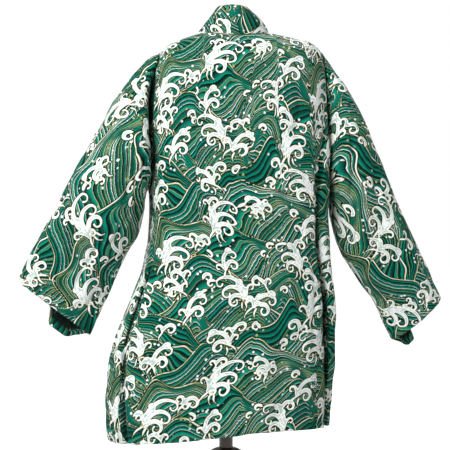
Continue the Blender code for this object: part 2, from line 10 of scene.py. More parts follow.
import bmesh
import bpy
import numpy as np
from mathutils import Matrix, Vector


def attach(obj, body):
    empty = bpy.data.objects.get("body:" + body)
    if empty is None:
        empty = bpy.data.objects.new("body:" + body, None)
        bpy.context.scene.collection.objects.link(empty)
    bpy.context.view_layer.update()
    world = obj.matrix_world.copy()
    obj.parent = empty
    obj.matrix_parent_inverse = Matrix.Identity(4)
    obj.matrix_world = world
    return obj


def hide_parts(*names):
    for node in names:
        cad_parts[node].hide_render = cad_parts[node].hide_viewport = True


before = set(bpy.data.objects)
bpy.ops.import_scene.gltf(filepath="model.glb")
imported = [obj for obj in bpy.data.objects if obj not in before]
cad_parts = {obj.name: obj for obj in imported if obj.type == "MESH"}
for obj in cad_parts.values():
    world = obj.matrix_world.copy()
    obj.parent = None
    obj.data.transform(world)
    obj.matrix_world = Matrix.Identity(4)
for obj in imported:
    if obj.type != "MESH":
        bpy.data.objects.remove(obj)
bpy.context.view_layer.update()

SIGN = {"left": 1, "right": -1}  # each side's own direction along X

# Cloth
WALL = 0.0012
BAND_WALL = 0.0026
HEM_WALL = 0.0008  # how much thicker the cloth is where it is turned up
HEM_TURN = 0.020  # how far up the hem shows the cloth's face inside
CUFF_TURN = 0.012  # and how far in the cuffs do
HEM_EDGE = 0.004  # the turned-up part ends over this much
CELL = 0.00206  # the outer face has a point about this often
INNER_STEP = 3  # and the inner face one for each this many
INNER_SCALE = 0.5  # how large the inner face is in the finish's layout
RIM_ANGLES = (math.radians(45), math.radians(90), math.radians(135))  # the rings of a sheet's round rim
SEAM = 0.0002  # each edge stops this short of its seam
ROLL = 0.0007  # and turns in by this much, over SEAM_REACH
SEAM_REACH = 0.0022
LAYOUT_GAP = 0.012  # between the faces in the finish's layout
LAYOUT_RIM = 0.0012  # how wide each ring of the rim is there
LAYOUT_MARGIN = 8 * LAYOUT_RIM

# Jacket
LIP_START = {"left": 0.12, "right": -0.02}  # how far up the cuff its front layer starts to hang lower
LIP_RISE = 0.30  # it is at its lowest this much further down
LIP_FALL = 0.45  # and comes back to the edge over this much
ARMHOLE_FADE = (0.30, 0.035, 0.10)  # how far along a sleeve the armhole's own shape fades out, in X, Y, Z
ARMHOLE_SEAM = 0.0006  # each sleeve starts this far outside its armhole
ARMHOLE_DEPTH = {"left": 0.045, "right": 0.034}  # half of each armhole, front to back
ARMHOLE_RISE = 0.100  # each opens to that over this height
UNDERARM_Z = 0.566
NECK_X = -0.014
NECK_SHIFT_Z = (0.3, 0.7)  # the front edges move from the middle to the neck's place between these heights
NECK_HALF_WIDTH = 0.069
NECK_BACK_SHARE = 0.66  # the neckline's middle is at this share of the body's depth
NECK_END = 0.99  # where the stations round the neck stop, as a share of its half width
CAP_POWER = 2.5  # how square the cloth is as it rounds over
CORNER_BLEND = 0.3  # the sides' corners blend over this much on each side of the middle
SIDE_OF_MIDDLE = 0.5  # a turn from the middle that is well on one side, in radians
BAND_WIDTH = 0.060
BAND_LEAN = 0.012  # how far the collar leans to the left at the centre back
BAND_LIES_Z = 0.775  # the band lies flat on the chest below this
EVEN_HEIGHTS = (0.20, 0.45, 0.68)  # a panel's columns are evenly spaced on average at these
DENSE = 400  # points along a line that is being measured
PASSES = 4  # how often a height and the place across are worked out from each other
TINY = 1e-12  # the least length that is divided by
MILLIMETRES = 1000  # in a metre
WIDEST_ALONG = 0.15  # where the sleeves are widest round
SLEEVE_LENGTH = 0.48
FOLD_FADE = 3.0  # a fold fades out over the third of its length at each end


def table(columns, *rows):
    """Named columns of a short table. The first column is the one that the others are read against."""
    return dict(zip(columns.split(), np.array(rows, float).T))


def tables(columns, **named):
    """Tables that share their columns, by name."""
    return {name: table(columns, *rows) for name, rows in named.items()}


# The body's sections, as in the solids: how far the oval reaches, how square it is on each side, and
# the side seams' places along Y.
BODY = table(
    "z left right back front corner_left corner_right seam_left seam_right",
    (0.090, 0.224, 0.193, 0.104, 0.122, 2.3, 2.3, 0.046, 0.024),
    (0.130, 0.228, 0.196, 0.104, 0.124, 2.3, 2.3, 0.048, 0.024),
    (0.223, 0.224, 0.204, 0.101, 0.124, 2.3, 2.4, 0.050, 0.024),
    (0.290, 0.210, 0.207, 0.099, 0.122, 2.3, 2.5, 0.050, 0.022),
    (0.356, 0.182, 0.208, 0.097, 0.120, 2.4, 2.6, 0.046, 0.018),
    (0.430, 0.153, 0.200, 0.095, 0.120, 2.8, 2.7, 0.032, 0.010),
    (0.500, 0.144, 0.196, 0.094, 0.121, 3.2, 2.8, 0.012, 0.002),
    (0.566, 0.144, 0.197, 0.094, 0.122, 3.6, 2.8, 0.002, 0.000),
    (0.641, 0.150, 0.198, 0.094, 0.120, 3.8, 2.8, 0.000, 0.000),
    (0.736, 0.150, 0.194, 0.092, 0.108, 3.8, 2.8, 0.000, 0.000),
    (0.790, 0.140, 0.190, 0.090, 0.098, 3.8, 2.8, 0.000, 0.000),
    (0.830, 0.132, 0.186, 0.088, 0.090, 3.6, 2.8, 0.000, 0.000),
)

# The shoulder line's height, and how deep the cloth rounds over below it, across the body.
RIDGE = table(
    "across z cap",
    (-1.00, 0.830, 0.080),
    (-0.90, 0.843, 0.085),
    (-0.60, 0.856, 0.085),
    (-0.38, 0.862, 0.085),
    (0.10, 0.866, 0.085),
    (0.55, 0.857, 0.085),
    (0.78, 0.843, 0.080),
    (0.90, 0.832, 0.075),
    (1.00, 0.815, 0.070),
)

HEM = table("x z", (-0.200, 0.115), (-0.100, 0.118), (0.0, 0.1165), (0.150, 0.105), (0.230, 0.096))

# The front edges: where each panel ends and the band begins, and where the band ends.
FRONT_EDGE = table(
    "z panel band",
    (0.090, 0.118, 0.056),
    (0.300, 0.108, 0.047),
    (0.560, 0.092, 0.032),
    (0.700, 0.084, 0.024),
    (0.780, 0.078, 0.020),
    (0.830, 0.073, 0.022),
    (0.866, 0.069, 0.030),
)

# Folds of the body, from top to bottom, in degrees and metres: a trough, or a soft ridge where the
# depth is negative. The first eight are the solids' own, and the rest are creases.
BODY_FOLDS = table(
    "turn_top turn_bottom top bottom depth half_width",
    (139, 148, 0.800, 0.120, 0.0070, 0.020),
    (52, 46, 0.340, 0.080, 0.0050, 0.022),
    (84, 80, 0.300, 0.080, 0.0035, 0.024),
    (112, 116, 0.330, 0.080, 0.0040, 0.022),
    (-24, -22, 0.520, 0.080, 0.0045, 0.020),
    (-43, -41, 0.640, 0.080, 0.0060, 0.020),
    (-140, -142, 0.620, 0.080, 0.0060, 0.020),
    (-160, -162, 0.500, 0.080, 0.0045, 0.020),
    (12, 34, 0.500, 0.090, 0.0050, 0.010),
    (26, 31, 0.420, 0.090, 0.0024, 0.008),
    (62, 71, 0.740, 0.500, 0.0018, 0.012),
    (76, 66, 0.560, 0.340, 0.0016, 0.010),
    (103, 97, 0.660, 0.440, 0.0016, 0.012),
    (121, 111, 0.785, 0.560, 0.0022, 0.010),
    (128, 135, 0.500, 0.220, 0.0022, 0.009),
    (95, 101, 0.340, 0.090, 0.0020, 0.010),
    (66, 61, 0.260, 0.090, 0.0022, 0.010),
    (151, 158, 0.580, 0.300, 0.0024, 0.009),
    (164, 159, 0.400, 0.090, 0.0026, 0.010),
    (148, 173, 0.560, 0.080, -0.0055, 0.013),
    (45, 40, 0.300, 0.090, -0.0020, 0.012),
    (-30, -26, 0.700, 0.400, 0.0020, 0.010),
    (-36, -34, 0.400, 0.090, -0.0020, 0.012),
    (-52, -48, 0.500, 0.150, 0.0022, 0.009),
    (-132, -136, 0.660, 0.350, 0.0020, 0.010),
    (-148, -150, 0.450, 0.090, 0.0022, 0.010),
    (-152, -149, 0.700, 0.450, -0.0018, 0.010),
)

# Sharp clefts in the back, in degrees and metres, which go straight towards the front.
CLEFTS = table(
    "turn_top turn_bottom top bottom depth half_width",
    (137, 163, 0.530, 0.080, 0.0320, 0.0095),
    (158, 134, 0.800, 0.480, 0.0110, 0.0120),
    (137, 139, 0.650, 0.410, 0.0200, 0.0095),
    (13, 34, 0.480, 0.080, 0.0110, 0.0085),
    (16, 13, 0.825, 0.555, 0.0300, 0.0185),
    (165, 166, 0.790, 0.600, 0.0060, 0.0100),
)

# The cloth's slight unevenness: waves round the body or sleeve and along it.
RIPPLES = table(
    "around along phase depth",
    (6, 35, 3.0, 0.0008),
    (24, 20, 0.4, 0.0005),
    (17, -60, 2.1, 0.0005),
    (31, 45, 4.0, 0.0003),
    (9, 95, 1.2, 0.0004),
    (13, -110, 5.2, 0.0003),
)

# The sleeves' sections, from the armhole to the cuff: the upper and lower edges of the outline, the
# half depth towards the back and the front, and how far the front layer runs past the back one.
SLEEVES = tables(
    "along upper_x upper_z lower_x lower_z back front overrun",
    left=(
        (0.00, 0.133, 0.812, 0.1455, 0.570, 0.045, 0.045, 0.000),
        (0.03, 0.147, 0.807, 0.1475, 0.569, 0.066, 0.066, 0.000),
        (0.08, 0.166, 0.790, 0.1490, 0.567, 0.078, 0.074, 0.000),
        (0.15, 0.187, 0.767, 0.1510, 0.564, 0.081, 0.078, 0.000),
        (0.25, 0.217, 0.724, 0.1530, 0.559, 0.080, 0.080, 0.002),
        (0.36, 0.243, 0.676, 0.1550, 0.547, 0.077, 0.078, 0.004),
        (0.48, 0.276, 0.617, 0.1590, 0.519, 0.070, 0.072, 0.008),
        (0.61, 0.309, 0.556, 0.1700, 0.478, 0.058, 0.060, 0.012),
        (0.74, 0.341, 0.495, 0.1940, 0.435, 0.046, 0.048, 0.016),
        (0.87, 0.368, 0.443, 0.2260, 0.366, 0.034, 0.036, 0.020),
        (1.00, 0.392, 0.395, 0.2580, 0.294, 0.022, 0.024, 0.030),
    ),
    right=(
        (0.00, 0.186, 0.833, 0.1970, 0.566, 0.034, 0.034, 0.000),
        (0.03, 0.195, 0.821, 0.1985, 0.565, 0.046, 0.046, 0.000),
        (0.08, 0.211, 0.798, 0.2000, 0.562, 0.062, 0.060, 0.000),
        (0.15, 0.233, 0.768, 0.2020, 0.555, 0.072, 0.068, 0.000),
        (0.25, 0.259, 0.723, 0.2050, 0.541, 0.074, 0.072, 0.002),
        (0.36, 0.285, 0.663, 0.2080, 0.520, 0.072, 0.072, 0.004),
        (0.48, 0.312, 0.602, 0.2130, 0.489, 0.068, 0.068, 0.008),
        (0.61, 0.342, 0.534, 0.2280, 0.445, 0.060, 0.062, 0.012),
        (0.74, 0.372, 0.471, 0.2590, 0.398, 0.052, 0.054, 0.016),
        (0.87, 0.402, 0.411, 0.2930, 0.351, 0.046, 0.048, 0.026),
        (1.00, 0.428, 0.357, 0.3280, 0.276, 0.042, 0.044, 0.042),
    ),
)

# Folds of the sleeves: where along the sleeve and how far round it each starts and ends.
# A turn of 0 is the upper edge, 90 the back and -90 the front.
SLEEVE_FOLDS = tables(
    "along_start turn_start along_end turn_end depth half_width",
    left=(
        (0.14, 62, 0.44, 112, 0.0070, 0.028),
        (0.36, 40, 0.70, 96, 0.0055, 0.026),
        (0.20, -64, 0.54, -116, 0.0070, 0.028),
        (0.48, -56, 0.92, -92, 0.0055, 0.026),
        (0.05, 40, 0.40, 74, 0.0026, 0.011),
        (0.22, 88, 0.62, 128, 0.0030, 0.012),
        (0.50, 66, 0.98, 84, 0.0026, 0.012),
        (0.10, 104, 0.36, 140, 0.0028, 0.010),
        (0.62, 112, 0.98, 120, -0.0024, 0.012),
        (0.08, -42, 0.44, -78, 0.0026, 0.012),
        (0.36, -96, 0.78, -128, 0.0028, 0.012),
    ),
    right=(
        (0.10, 66, 0.44, 122, 0.0070, 0.028),
        (0.32, 44, 0.72, 104, 0.0065, 0.026),
        (0.18, -64, 0.52, -118, 0.0070, 0.028),
        (0.46, -56, 0.92, -92, 0.0055, 0.026),
        (0.06, 36, 0.38, 70, 0.0026, 0.011),
        (0.18, 92, 0.56, 136, 0.0032, 0.012),
        (0.46, 72, 0.98, 90, 0.0026, 0.012),
        (0.58, 50, 0.94, 58, -0.0022, 0.012),
        (0.66, 118, 0.98, 124, 0.0024, 0.011),
        (0.08, -44, 0.42, -80, 0.0026, 0.012),
        (0.34, -98, 0.76, -126, 0.0028, 0.012),
    ),
)

# The band's stand round the neck, from the centre back (0) to the neck point (1) and down the front
# until it lies on the chest (2): where its free edge is from its seam, and how far its middle bows out.
BAND_STAND = table(
    "station inward forward up bow",
    (0.00, 0.000, 0.008, 0.058, 0.003),
    (0.25, 0.004, 0.014, 0.055, 0.004),
    (0.50, 0.016, 0.018, 0.047, 0.005),
    (0.75, 0.028, 0.012, 0.040, 0.005),
    (1.00, 0.038, 0.006, 0.034, 0.005),
    (1.40, 0.052, 0.006, 0.020, 0.003),
    (2.00, 0.060, 0.000, 0.000, 0.000),
)

# Form and stand
FORM_X = -0.008
FORM_CAP = 0.072  # the form rounds over to its shoulder line over this much
FORM_SHOULDER_DROP = 0.012  # how much lower it is at the shoulders' ends
FORM_NECK_DROP = 0.003  # and at the neck
FORM_DROP_POWER = 12
FORM_CLEARANCE = 0.0010  # under the cloth, along the shoulder line
FORM_POWER = 2.5  # how square its sections are
FORM_TURNS = 288
FORM_ROWS = 90
FORM_CAP_ROWS = 30
FORM_CAP_TURN = math.radians(88)
FORM_SEAMS = (0, 52, 90, 128, 180, 222, 270, 318)  # the cover's seams, in degrees round
FORM_SEAM_DEPTH = 0.0009
FORM_SEAM_WIDTH = 0.0022
NECK_ZONE = 0.018  # how far past the neck the drop there reaches
NECK_ZONE_FADE = 0.020
NECK_RADIUS = 0.041
NECK_FLARE = 0.006
NECK_LENGTH = 0.070
NECK_TOP_Z = 0.869
NECK_ROLL = 0.003
NECK_CAP_HEIGHT = 0.007
NECK_CAP_EDGE = 0.003
BASE_RADIUS = 0.150
BASE_HEIGHT = 0.024
BASE_EDGE = 0.008
FOOT_CHAMFER = 0.002
HUB_RADIUS = 0.050
HUB_HEIGHT = 0.052
HUB_CROWN = 0.003  # how far the flat top of the hub reaches past the pole
HUB_RIM = 0.2  # the share of the hub's height that is upright
POLE_RADIUS = 0.013
GAP = 0.0003  # between the stand's pieces
TURNED_STEPS = 144
ROUNDED_STEPS = 9
DOME_STEPS = 28
WOOD_LYING = (14.0, 220.0, 220.0)  # how fine the grain is along each axis
WOOD_UPRIGHT = (260.0, 260.0, 12.0)
WOOD_PORES = (("wood_dark", 0.62, 0.70),)
WOOD_ROUGHNESS = (0.18, 0.24)  # how much it grows with the grain, and from what
LINEN_THREADS = ((120.0, 120.0, 2600.0), (2600.0, 2600.0, 120.0))  # across, then up
LINEN_WEAR = (22.0, 22.0, 22.0)
LINEN_WORN_SHARE = 0.12

# The form: half width and depths of its sections.
FORM = table(
    "z half back front",
    (0.205, 0.118, 0.060, 0.062),
    (0.240, 0.138, 0.074, 0.072),
    (0.330, 0.150, 0.080, 0.080),
    (0.430, 0.136, 0.072, 0.078),
    (0.520, 0.122, 0.066, 0.080),
    (0.620, 0.134, 0.074, 0.096),
    (0.700, 0.140, 0.080, 0.100),
    (0.780, 0.138, 0.082, 0.088),
    (0.850, 0.128, 0.078, 0.078),
)
FORM_BOTTOM_Z = FORM["z"][0]

# Print, in millimetres on a repeat of TILE_U by TILE_V
TILE_U = 360
TILE_V = 300
PRINT_LEVEL_Z = 0.45  # the panels' prints meet at this height, in metres
PRINT_SHIFT = {  # where each print starts, in metres across the piece, and along the sleeves and band
    "back": 0.10,
    "front_left": 0.05,
    "front_right": 0.22,
    "sleeve_left": (0.10, 0.05),
    "sleeve_right": (0.18, 0.12),
    "band_left": (0.03, 0.00),
    "band_right": (0.20, 0.13),
}
FAR = 30.0  # further than anything that shows
LAPS_U = (-1, 0, 1)  # the laps of the repeat whose hills reach into it
LAPS_V = (2, 1, 0, -1)
LINE_U = (-3.0 * TILE_U, 4.0 * TILE_U)  # the crest lines run well past it on both sides

# The hills' lines wander by these waves, which have whole numbers of periods in the repeat.
SWAY = table("height periods_u periods_v phase", (9, 2, 1, 0), (5, 3, -2, 1))
LIFT = table("height periods_u periods_v phase", (12, 2, -1, 2), (5, 4, 1, 0))
HILL_STEEPNESS = 2.0
HILL_FALL = 46  # past its shoulders, a hill's crest line falls by this much
HILL_SHOULDER = 0.75
HILL_DEPTH = 200  # and by no more than this
STRANDS = 40  # each hill's strands have numbers of their own
SHEAR = 0.70  # how far sideways each strand lies from the one above it, for each millimetre down
WANDER = 0.16  # how unevenly wide the strands are
WANDER_LENGTH = 11
FINEST = 0.05  # strands' numbers change by at least this much a millimetre, where their width is measured

# Fingers of foam
STEP = 0.7  # along a finger's middle line
CURL_CLOSES = 0.42
OPEN = 1.12  # how far the curls are opened
SLIM = 0.50  # how much of its width each finger keeps
TAIL = 0.42  # the share of the way to the curl that the finger's tail swells over
TAIL_HALF_WIDTH = 0.3
THINS_FROM = 0.30  # a finger's foot width dies away from here, as a share of its length
THINS_OVER = 0.65
CURL_SHARE = 0.55  # the share of its tip's width that it has all along
KNOB = 0.38  # how much thicker its end is
KNOB_REACH = 2.2
REACH = 14  # how far from a finger's middle line its distances are worked out
MOAT = 1.8  # a curl keeps this much clear of the foam under it
CONTOUR = 1.9  # how far inside its edge each finger has a line
OVERLAP = 0.8  # a finger's edge shows as a line this far inside the foam under it

# How the water is inked. A pair is where an ink starts to show and where it covers.
LIT = (0.20, 0.95)
LIT_LEAST = 0.22
SHADED = (0.32, 0.10)
WIDE_ENOUGH = (2.6, 4.6)
WHITE_LINES = (0.42, 0.43)
GOLD_LINES = (0.68, 0.69)
LINE_EDGE = (0.62, 0.34)
MIDDLE = 0.55
MIDDLE_EDGE = (0.45, 0.25)
MIDDLE_LINES = (0.55, 0.56)
MIDDLE_GOLD = (0.78, 0.79)
CREST_LINES = (("dark", 2.8, 2.0), ("gold", 1.4, 1.0), ("white", 0.9, 0.6))

# How the foam is inked, by the distance from its edge, and the spray round it
FOAM_LINES = (("dark", 2.2, 1.4), ("gold", 0.8, 0.5), ("white", 0.5, 0.1))
FOAM_SHADE = 0.55
FOAM_SHADE_EDGE = (1.0, 0.3)
FOAM_INSIDE = (-0.4, -1.0)
SPRAY_SPACING = 0.0095  # in metres
SPRAY_NEAR = ((2.5, 4.0), (20.0, 8.0))
SPRAY_CHANCE = (0.55, 0.60)
SPRAY_GOLD = (0.72, 0.74)
SPRAY_EDGE = (0.30, 0.22)

# The cotton
WORN = (0.3, 0.75)
WORN_SHARE = 0.10
# The cloth's inside is a dark reverse, made near black as painted shade for the shadow inside the sleeves
# and hem.
INSIDE_SHADE_SHARE = 0.94  # how much of the print the cloth's inside hides
THREAD = 0.0007

# The rolling hills of water, far ones first within each row: the middle of the crest, how wide and
# high it is, which way it leans, and how far apart its strands are.
HILLS = table(
    "u v half_width height lean spacing",
    (34, 246, 74, 41, 0.55, 6.4),
    (150, 240, 90, 46, 0.50, 7.0),
    (276, 252, 78, 36, -0.45, 6.4),
    (96, 160, 85, 46, 0.55, 7.0),
    (222, 158, 72, 39, 0.50, 6.4),
    (336, 176, 85, 45, 0.55, 7.0),
    (22, 92, 85, 45, 0.50, 7.0),
    (156, 84, 76, 41, -0.50, 6.4),
    (276, 98, 90, 48, 0.55, 7.0),
    (86, 18, 81, 43, 0.55, 6.4),
    (208, 14, 90, 46, 0.55, 7.0),
    (330, 22, 72, 38, 0.50, 6.4),
)

# The fingers of one foam crest, in the crest's own millimetres: where each starts and its heading, in
# degrees; its length up to the curl and how far it turns by there (left is positive); the radius of the
# curl (negative curls right) and how far round that goes; and its half width at the foot and the curl.
CRESTS = tables(
    "u v heading length turns curl round foot tip",
    breaker=(
        (-44, -30, 100, 26, 40, 6.0, 210, 3.6, 2.6),
        (-36, -2, 74, 14, 56, 5.4, 220, 3.4, 2.5),
        (8, 26, 34, 16, -50, -5.4, 220, 3.4, 2.5),
        (30, 14, 10, 14, -40, -5.0, 220, 3.2, 2.4),
        (-48, -34, 84, 92, -96, -8.0, 235, 6.2, 3.0),
        (-45, -34, 76, 66, -100, -8.6, 240, 6.0, 3.0),
        (-42, -34, 62, 44, -110, -8.8, 250, 5.6, 3.1),
        (-40, -28, 222, 30, 44, 9.0, 20, 2.4, 1.0),
        (-34, -26, 244, 26, 60, 9.0, 20, 2.2, 1.0),
        (-30, -30, 262, 20, 60, 9.0, 20, 2.0, 0.9),
    ),
    comb=(
        (-30, -24, 98, 20, 44, 5.6, 215, 3.4, 2.5),
        (-14, 12, 52, 12, -40, -5.2, 220, 3.4, 2.4),
        (-32, -24, 80, 58, -100, -7.2, 235, 5.4, 2.8),
        (-29, -24, 64, 36, -112, -7.8, 245, 5.2, 2.9),
        (-28, -20, 226, 22, 44, 9.0, 20, 2.2, 1.0),
        (-22, -20, 252, 16, 50, 9.0, 20, 2.0, 0.9),
    ),
    curl=(
        (-14, -16, 104, 14, 46, 5.4, 210, 3.2, 2.4),
        (-16, -18, 76, 32, -100, -7.0, 240, 4.8, 2.7),
        (-12, -14, 236, 16, 44, 9.0, 20, 2.0, 0.9),
    ),
    lick=(
        (-8, -10, 66, 18, -84, -6.0, 230, 3.8, 2.5),
    ),
)

# Where the crests are: the middle, the size, how far each is turned, and 1 or -1 for which way it breaks.
FOAM = tables(
    "u v size turned way",
    breaker=(
        (70, 214, 1.00, -8, 1),
        (196, 272, 0.95, 14, -1),
        (318, 146, 1.00, -14, 1),
        (236, 60, 1.00, 6, 1),
        (18, 74, 0.90, 16, -1),
        (140, 140, 0.85, 4, -1),
    ),
    comb=(
        (294, 262, 1.00, 6, 1),
        (232, 194, 1.05, -12, 1),
        (112, 54, 1.05, -18, 1),
        (10, 284, 1.00, 22, -1),
        (340, 56, 1.00, 10, 1),
        (48, 140, 0.90, 16, 1),
        (186, 100, 0.90, -10, -1),
        (104, 238, 0.80, 20, -1),
        (272, 84, 0.80, 20, -1),
    ),
    curl=(
        (138, 236, 1.00, 10, 1),
        (250, 244, 1.00, 24, -1),
        (0, 178, 1.10, -20, 1),
        (186, 168, 1.00, 0, 1),
        (82, 96, 1.00, 16, -1),
        (168, 20, 1.10, -14, -1),
        (288, 14, 1.00, -6, 1),
        (58, 14, 1.00, 8, 1),
        (288, 112, 1.00, 14, -1),
        (40, 250, 0.80, 0, 1),
    ),
    lick=(
        (26, 196, 1.00, 10, 1),
        (152, 286, 1.00, 0, 1),
        (258, 150, 1.00, -16, 1),
        (190, 226, 1.00, 0, -1),
        (88, 14, 1.00, 8, -1),
        (136, 84, 0.90, 0, 1),
        (346, 108, 1.00, 12, 1),
    ),
)

# Studio
STUDIO_RADIUS = 12.0
FLOOR_GREY = (0.25, 0.25, 0.25, 1.0)
FLOOR_GLOW = 0.92
WORLD_BELOW = 0.10
WORLD_ABOVE = 0.40
WORLD_BLEND = 0.5  # the sky's light changes over this much above and below level
BLACK = (0.0, 0.0, 0.0, 1.0)
WHITE = (1.0, 1.0, 1.0, 1.0)
LAMPS = (  # name, azimuth, elevation, distance, size and power
    ("key", 136, 27, 3.0, 1.2, 92),
    ("fill", 212, 12, 3.0, 1.8, 24),
    ("front_key", -30, 28, 3.0, 1.6, 68),
    ("front_fill", 50, 10, 3.0, 1.8, 22),
)
VIEW_AZIMUTH = 169
VIEW_DISTANCE = 2.4
VIEW_SHIFT = 0.0019  # sideways
VIEW_LENS = 101.0
MIDDLE_OF_VIEW = Vector((0, 0, 0.4985))


def read(source, column, at):
    """A column of a table at any place: a smooth curve through its rows, level past its ends."""
    knots = next(iter(source.values()))
    values = source[column]
    slopes = np.gradient(values, knots)
    at = np.clip(np.asarray(at, float), knots[0], knots[-1])
    i = np.clip(np.searchsorted(knots, at, side="right") - 1, 0, len(knots) - 2)
    span = knots[i + 1] - knots[i]
    t = (at - knots[i]) / span
    return (
        (2 * t**3 - 3 * t**2 + 1) * values[i]
        + (t**3 - 2 * t**2 + t) * span * slopes[i]
        + (3 * t**2 - 2 * t**3) * values[i + 1]
        + (t**3 - t**2) * span * slopes[i + 1]
    )


def rows_of(source):
    return zip(*source.values())


def signed_power(value, power):
    return np.sign(value) * np.abs(value) ** power


def ease(t):
    t = np.clip(t, 0.0, 1.0)
    return t * t * (3 - 2 * t)


def lengths_along(points):
    """The distance from the first point to each, along a line of points."""
    return np.concatenate([[0.0], np.cumsum(np.linalg.norm(np.diff(points, axis=0), axis=-1))])


def evenly(lengths, count, values):
    """The values at evenly spaced places along some lengths, one more than the count."""
    return np.interp(np.linspace(0, lengths[-1], count + 1), lengths, values)


# The body's surface


def corner(turn, z):
    """How square the oval is: each side has its own power, and they blend across the middle."""
    left = read(BODY, "corner_left", z)
    right = read(BODY, "corner_right", z)
    share = ease((np.cos(turn) + CORNER_BLEND) / (2 * CORNER_BLEND))
    return right + (left - right) * share


def across(turn, z):
    """-1 at the right side, 1 at the left."""
    return signed_power(np.cos(turn), 2 / corner(turn, z))


def cap(share, z):
    """How much of the body's depth is left as the cloth rounds over to the shoulder line."""
    ridge = read(RIDGE, "z", share)
    depth = read(RIDGE, "cap", share)
    q = np.clip((z - (ridge - depth)) / depth, 0.0, 1.0)
    return (1 - q**CAP_POWER) ** (1 / CAP_POWER)


def trough(turn, line, half, depth, half_width):
    """How far in a fold along a line of turns moves the cloth. half is half the section's own width."""
    away = np.angle(np.exp(1j * (turn - line))) * half / half_width
    return depth * np.exp(-(away**2))


def folded(folds, turn, z, half):
    """How far a table's folds move the body's cloth in."""
    total = np.zeros(np.broadcast(turn, z).shape)
    for turn_top, turn_bottom, top, bottom, depth, half_width in rows_of(folds):
        t = (z - bottom) / (top - bottom)
        line = np.radians(turn_bottom + (turn_top - turn_bottom) * np.clip(t, 0, 1))
        fade = ease((1 - t) * FOLD_FADE) * np.where(bottom <= HEM["z"][-1], 1.0, ease(t * FOLD_FADE))
        total = total + fade * trough(turn, line, half, depth, half_width)
    return total


def ripple(turn, along):
    return sum(
        depth * np.sin(around * turn + rise * along + phase)
        for around, rise, phase, depth in rows_of(RIPPLES)
    )


def middle_and_half(z):
    """The middle of the body's oval and its half width, along X."""
    left = read(BODY, "left", z)
    right = read(BODY, "right", z)
    return (left - right) / 2, (left + right) / 2


def body(turn, z):
    """The point of the jacket's outer face at a turn and a height."""
    turn, z = np.broadcast_arrays(np.asarray(turn, float), np.asarray(z, float))
    middle, half = middle_and_half(z)
    share = across(turn, z)
    depth = np.where(np.sin(turn) > 0, read(BODY, "back", z), read(BODY, "front", z))
    dip = folded(BODY_FOLDS, turn, z, half) + ripple(turn, z)
    cleft = folded(CLEFTS, turn, z, half) * (np.sin(turn) > 0)
    x = middle + (half - dip) * share
    y = (depth - dip) * signed_power(np.sin(turn), 2 / corner(turn, z)) * cap(share, z) - cleft
    return np.stack([x, y, z], axis=-1)


def turn_at_y(y, side, z):
    """The turn at which the oval, before it rounds over, has this Y on the given side."""
    depth = np.where(y > 0, read(BODY, "back", z), read(BODY, "front", z))
    power = read(BODY, "corner_" + side, z)
    turn = np.sign(y) * np.arcsin(np.clip(np.abs(y) / depth, 0, 1) ** (power / 2))
    return turn if side == "left" else math.pi - turn


def edge_turn(side, face, z):
    """The turn of a panel's side edge: its side seam, and above the underarm the armhole."""
    opened = np.sqrt(1 - (1 - np.clip((z - UNDERARM_Z) / ARMHOLE_RISE, 0, 1)) ** 2)
    seam = read(BODY, "seam_" + side, z)
    way = 1 if face == "back" else -1
    return turn_at_y(seam + (way * ARMHOLE_DEPTH[side] - seam) * opened, side, z)


def front_turn(side, column, z):
    """The turn of a front edge, from the distance of that edge from the centre."""
    sign = SIGN[side]
    middle, half = middle_and_half(z)
    low, high = NECK_SHIFT_Z
    x = sign * read(FRONT_EDGE, column, z) + NECK_X * ease((z - low) / (high - low))
    share = (x - middle) / half
    return -np.arccos(signed_power(share, corner(-math.pi / 2 + sign * SIDE_OF_MIDDLE, z) / 2))


def place_at(share, z):
    """X at a share of the body's half width."""
    middle, half = middle_and_half(z)
    return middle + share * half


def column_top(share, neckline):
    """Where a column ends: at the shoulder line, or at the back neckline."""
    ridge = read(RIDGE, "z", share)
    if not neckline:
        return ridge
    x = place_at(share, RIDGE["z"].max())
    inside = np.clip(1 - ((x - NECK_X) / NECK_HALF_WIDTH) ** 2, 0, 1)
    kept = NECK_BACK_SHARE * np.sqrt(inside)
    return ridge - read(RIDGE, "cap", share) * (1 - (1 - kept**CAP_POWER) ** (1 / CAP_POWER))


def column_heights(share, neckline):
    """Close heights from the hem to the column's top, closest where the cloth turns level."""
    hem = read(HEM, "z", place_at(share, BODY["z"][0]))
    top = column_top(share, neckline)
    return hem + (top - hem) * np.sin(np.linspace(0, math.pi / 2, DENSE))


def panel(first_turn, last_turn, neckline):
    """An even grid of points between two edges, from the hem up."""
    shares = np.linspace(0, 1, DENSE)
    lengths = even_lengths(first_turn, last_turn, shares)
    rows = None
    grid = []
    for share in evenly(lengths, even_count(lengths[-1]), shares):
        z = np.full(DENSE, UNDERARM_Z)
        for _ in range(PASSES):  # the heights depend on the place across, and that on the heights
            turn = between(first_turn, last_turn, z, share)
            z = column_heights(float(across(turn, z)[-1]), neckline)
        lengths = lengths_along(body(between(first_turn, last_turn, z, share), z))
        rows = rows or even_count(lengths[-1])
        z = evenly(lengths, rows, z)
        grid.append(body(between(first_turn, last_turn, z, share), z))
    return np.array(grid)


def between(first_turn, last_turn, z, share):
    """The turn at a share of the way from a panel's first edge to its last."""
    return first_turn(z) + (last_turn(z) - first_turn(z)) * share


def even_lengths(first_turn, last_turn, shares):
    """The mean distance across a panel to each share of it, over a few heights."""
    lengths = []
    for height in EVEN_HEIGHTS:
        z = np.full(len(shares), height)
        lengths.append(lengths_along(body(between(first_turn, last_turn, z, shares), z)))
    return np.mean(lengths, axis=0)


def even_count(length):
    """How many cells the cloth has along a length, in whole steps of its inner face."""
    return INNER_STEP * max(1, round(length / CELL / INNER_STEP))


def back_grid():
    """From the left edge to the right one."""
    return panel(*(lambda z, side=side: edge_turn(side, "back", z) for side in SIGN), True)


